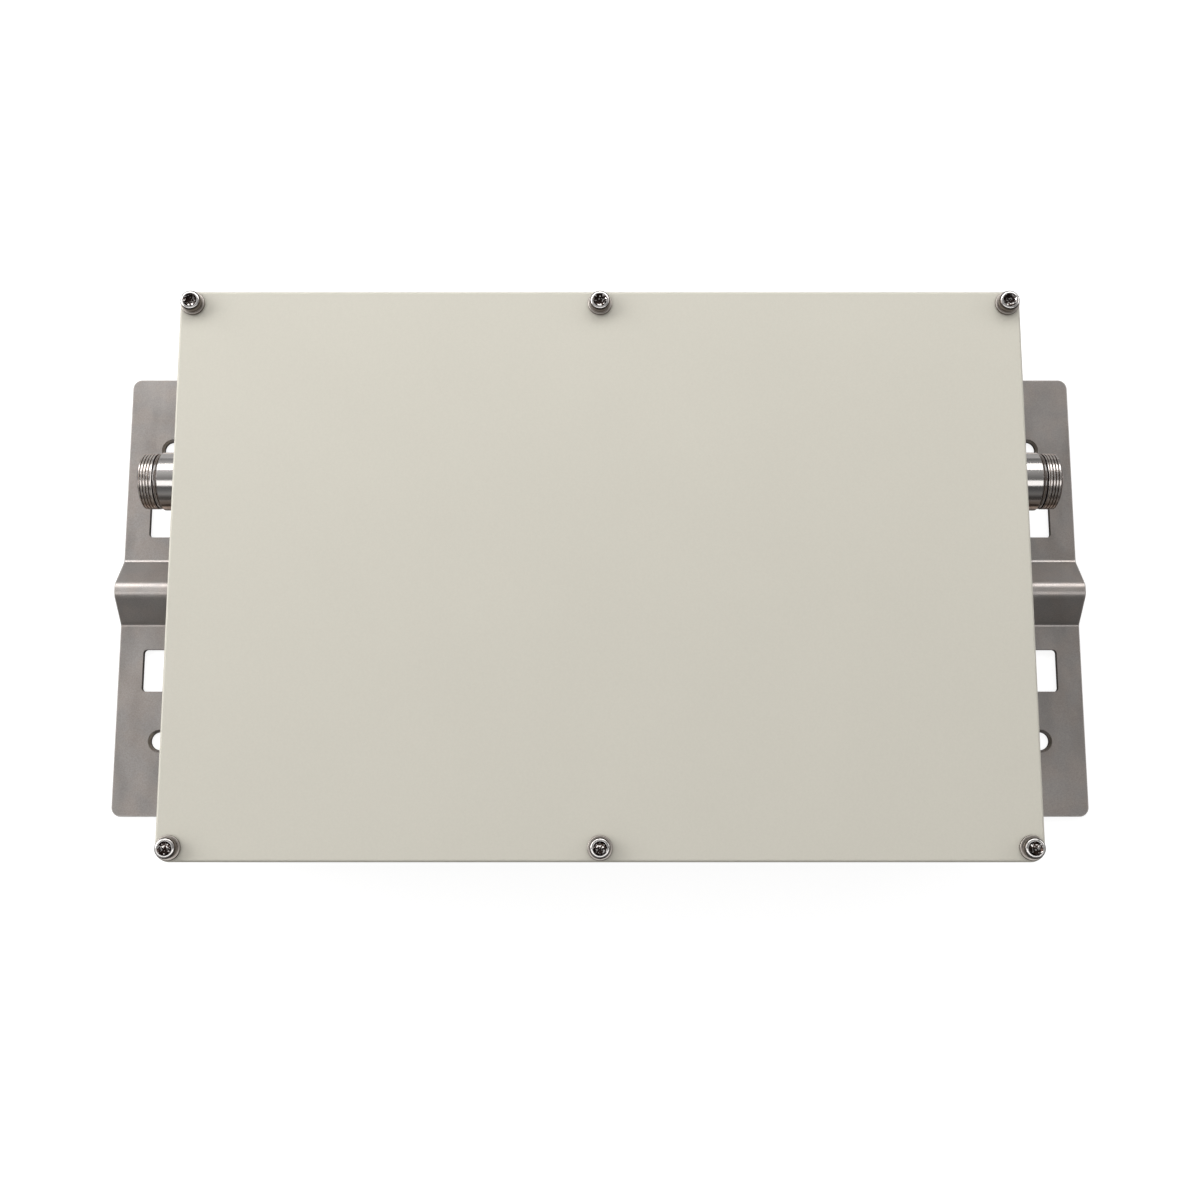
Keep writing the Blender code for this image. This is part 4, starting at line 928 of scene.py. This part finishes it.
def make_light(name, place, size, radiance, aim=(0.0, 0.0, 0.0)):
    """Softbox that faces the given place and looks as bright as its radiance."""
    data = bpy.data.lights.new(name, "AREA")
    data.shape = "RECTANGLE"
    data.size, data.size_y = size
    data.energy = radiance * math.pi * size[0] * size[1]
    light = bpy.data.objects.new(name, data)
    light.location = place
    light.rotation_euler = (Vector(aim) - Vector(place)).to_track_quat("-Z", "Y").to_euler()
    bpy.context.scene.collection.objects.link(light)


def make_lights():
    """Two softboxes that the round metal mirrors as bands, a key light and a weaker fill."""
    port = middle_of("connector_body_left")
    ports = (0.0, port.y, port.z)
    make_light("upper_softbox", place=(-0.02, 0.87, 0.78), size=(1.9, 0.50), radiance=2.6, aim=ports)
    make_light("overhead_softbox", place=(0.0, -0.73, 2.31), size=(3.6, 0.85), radiance=1.25, aim=ports)
    make_light("key", place=(-1.35, 0.40, 0.55), size=(1.0, 1.2), radiance=3.05)
    make_light("fill", place=(1.25, 0.45, 0.50), size=(0.6, 0.6), radiance=1.6)


def make_world():
    """Studio room that the metal mirrors, and plain white for the camera and what is clear.

    The room is uneven along an arch over the part, and lighter on the left and at both ends.
    """
    world = bpy.data.worlds.new("studio")
    bpy.context.scene.world = world
    world.use_nodes = True
    room = Nodes(world.node_tree)
    direction = room.coordinates(room.nodes.new("ShaderNodeTexCoord").outputs["Generated"])
    angle = room.calculated("ARCTAN2", direction["Y"], direction["Z"])
    arch = room.nodes.new("ShaderNodeValToRGB")
    ramp = arch.color_ramp
    while len(ramp.elements) < len(ROOM_LEVELS):
        ramp.elements.new(0.5)
    for element, (degrees, level) in zip(ramp.elements, ROOM_LEVELS):
        element.position = 0.5 + degrees / 360.0
        element.color = (level, level, level, 1.0)
    room.feed(arch.inputs["Fac"], room.rise(angle, -math.pi, math.pi))
    reach = room.calculated("ABSOLUTE", direction["X"])
    walls = room.spread(reach, 0.0, ROOM_WALLS, *ROOM_WALLS_REACH)
    side = room.spread(direction["X"], *ROOM_SIDES, *ROOM_SIDES_REACH)
    lit = room.calculated("MULTIPLY", room.calculated("ADD", arch.outputs["Color"], walls), side)
    path = room.nodes.new("ShaderNodeLightPath").outputs
    seen = room.calculated("ADD", path["Is Camera Ray"], path["Is Transmission Ray"])
    room.feed(room.nodes["Background"].inputs["Color"], room.mixed(lit, seen, WHITE))


def make_camera():
    """Camera in front of the cover."""
    data = bpy.data.cameras.new("camera")
    data.lens = CAMERA_LENS
    data.sensor_width = CAMERA_SENSOR
    data.clip_start = CAMERA_CLIP_START
    camera = bpy.data.objects.new("camera", data)
    camera.location = CAMERA_PLACE
    camera.rotation_euler = (CAMERA_TILT, 0.0, 0.0)
    bpy.context.scene.collection.objects.link(camera)
    bpy.context.scene.camera = camera


make_cover()
for screw_number, screw_turn in enumerate(SCREW_TURNS, 1):
    make_cap_screw(screw_number, screw_turn)
    make_washer(screw_number)
for port_side, port_sign in SIDES.items():
    make_bracket(port_side, port_sign)
    make_port(port_side, port_sign)
dress_kept_nodes()
make_floor()
make_lights()
make_world()
make_camera()
bpy.context.scene.view_settings.view_transform = "Standard"
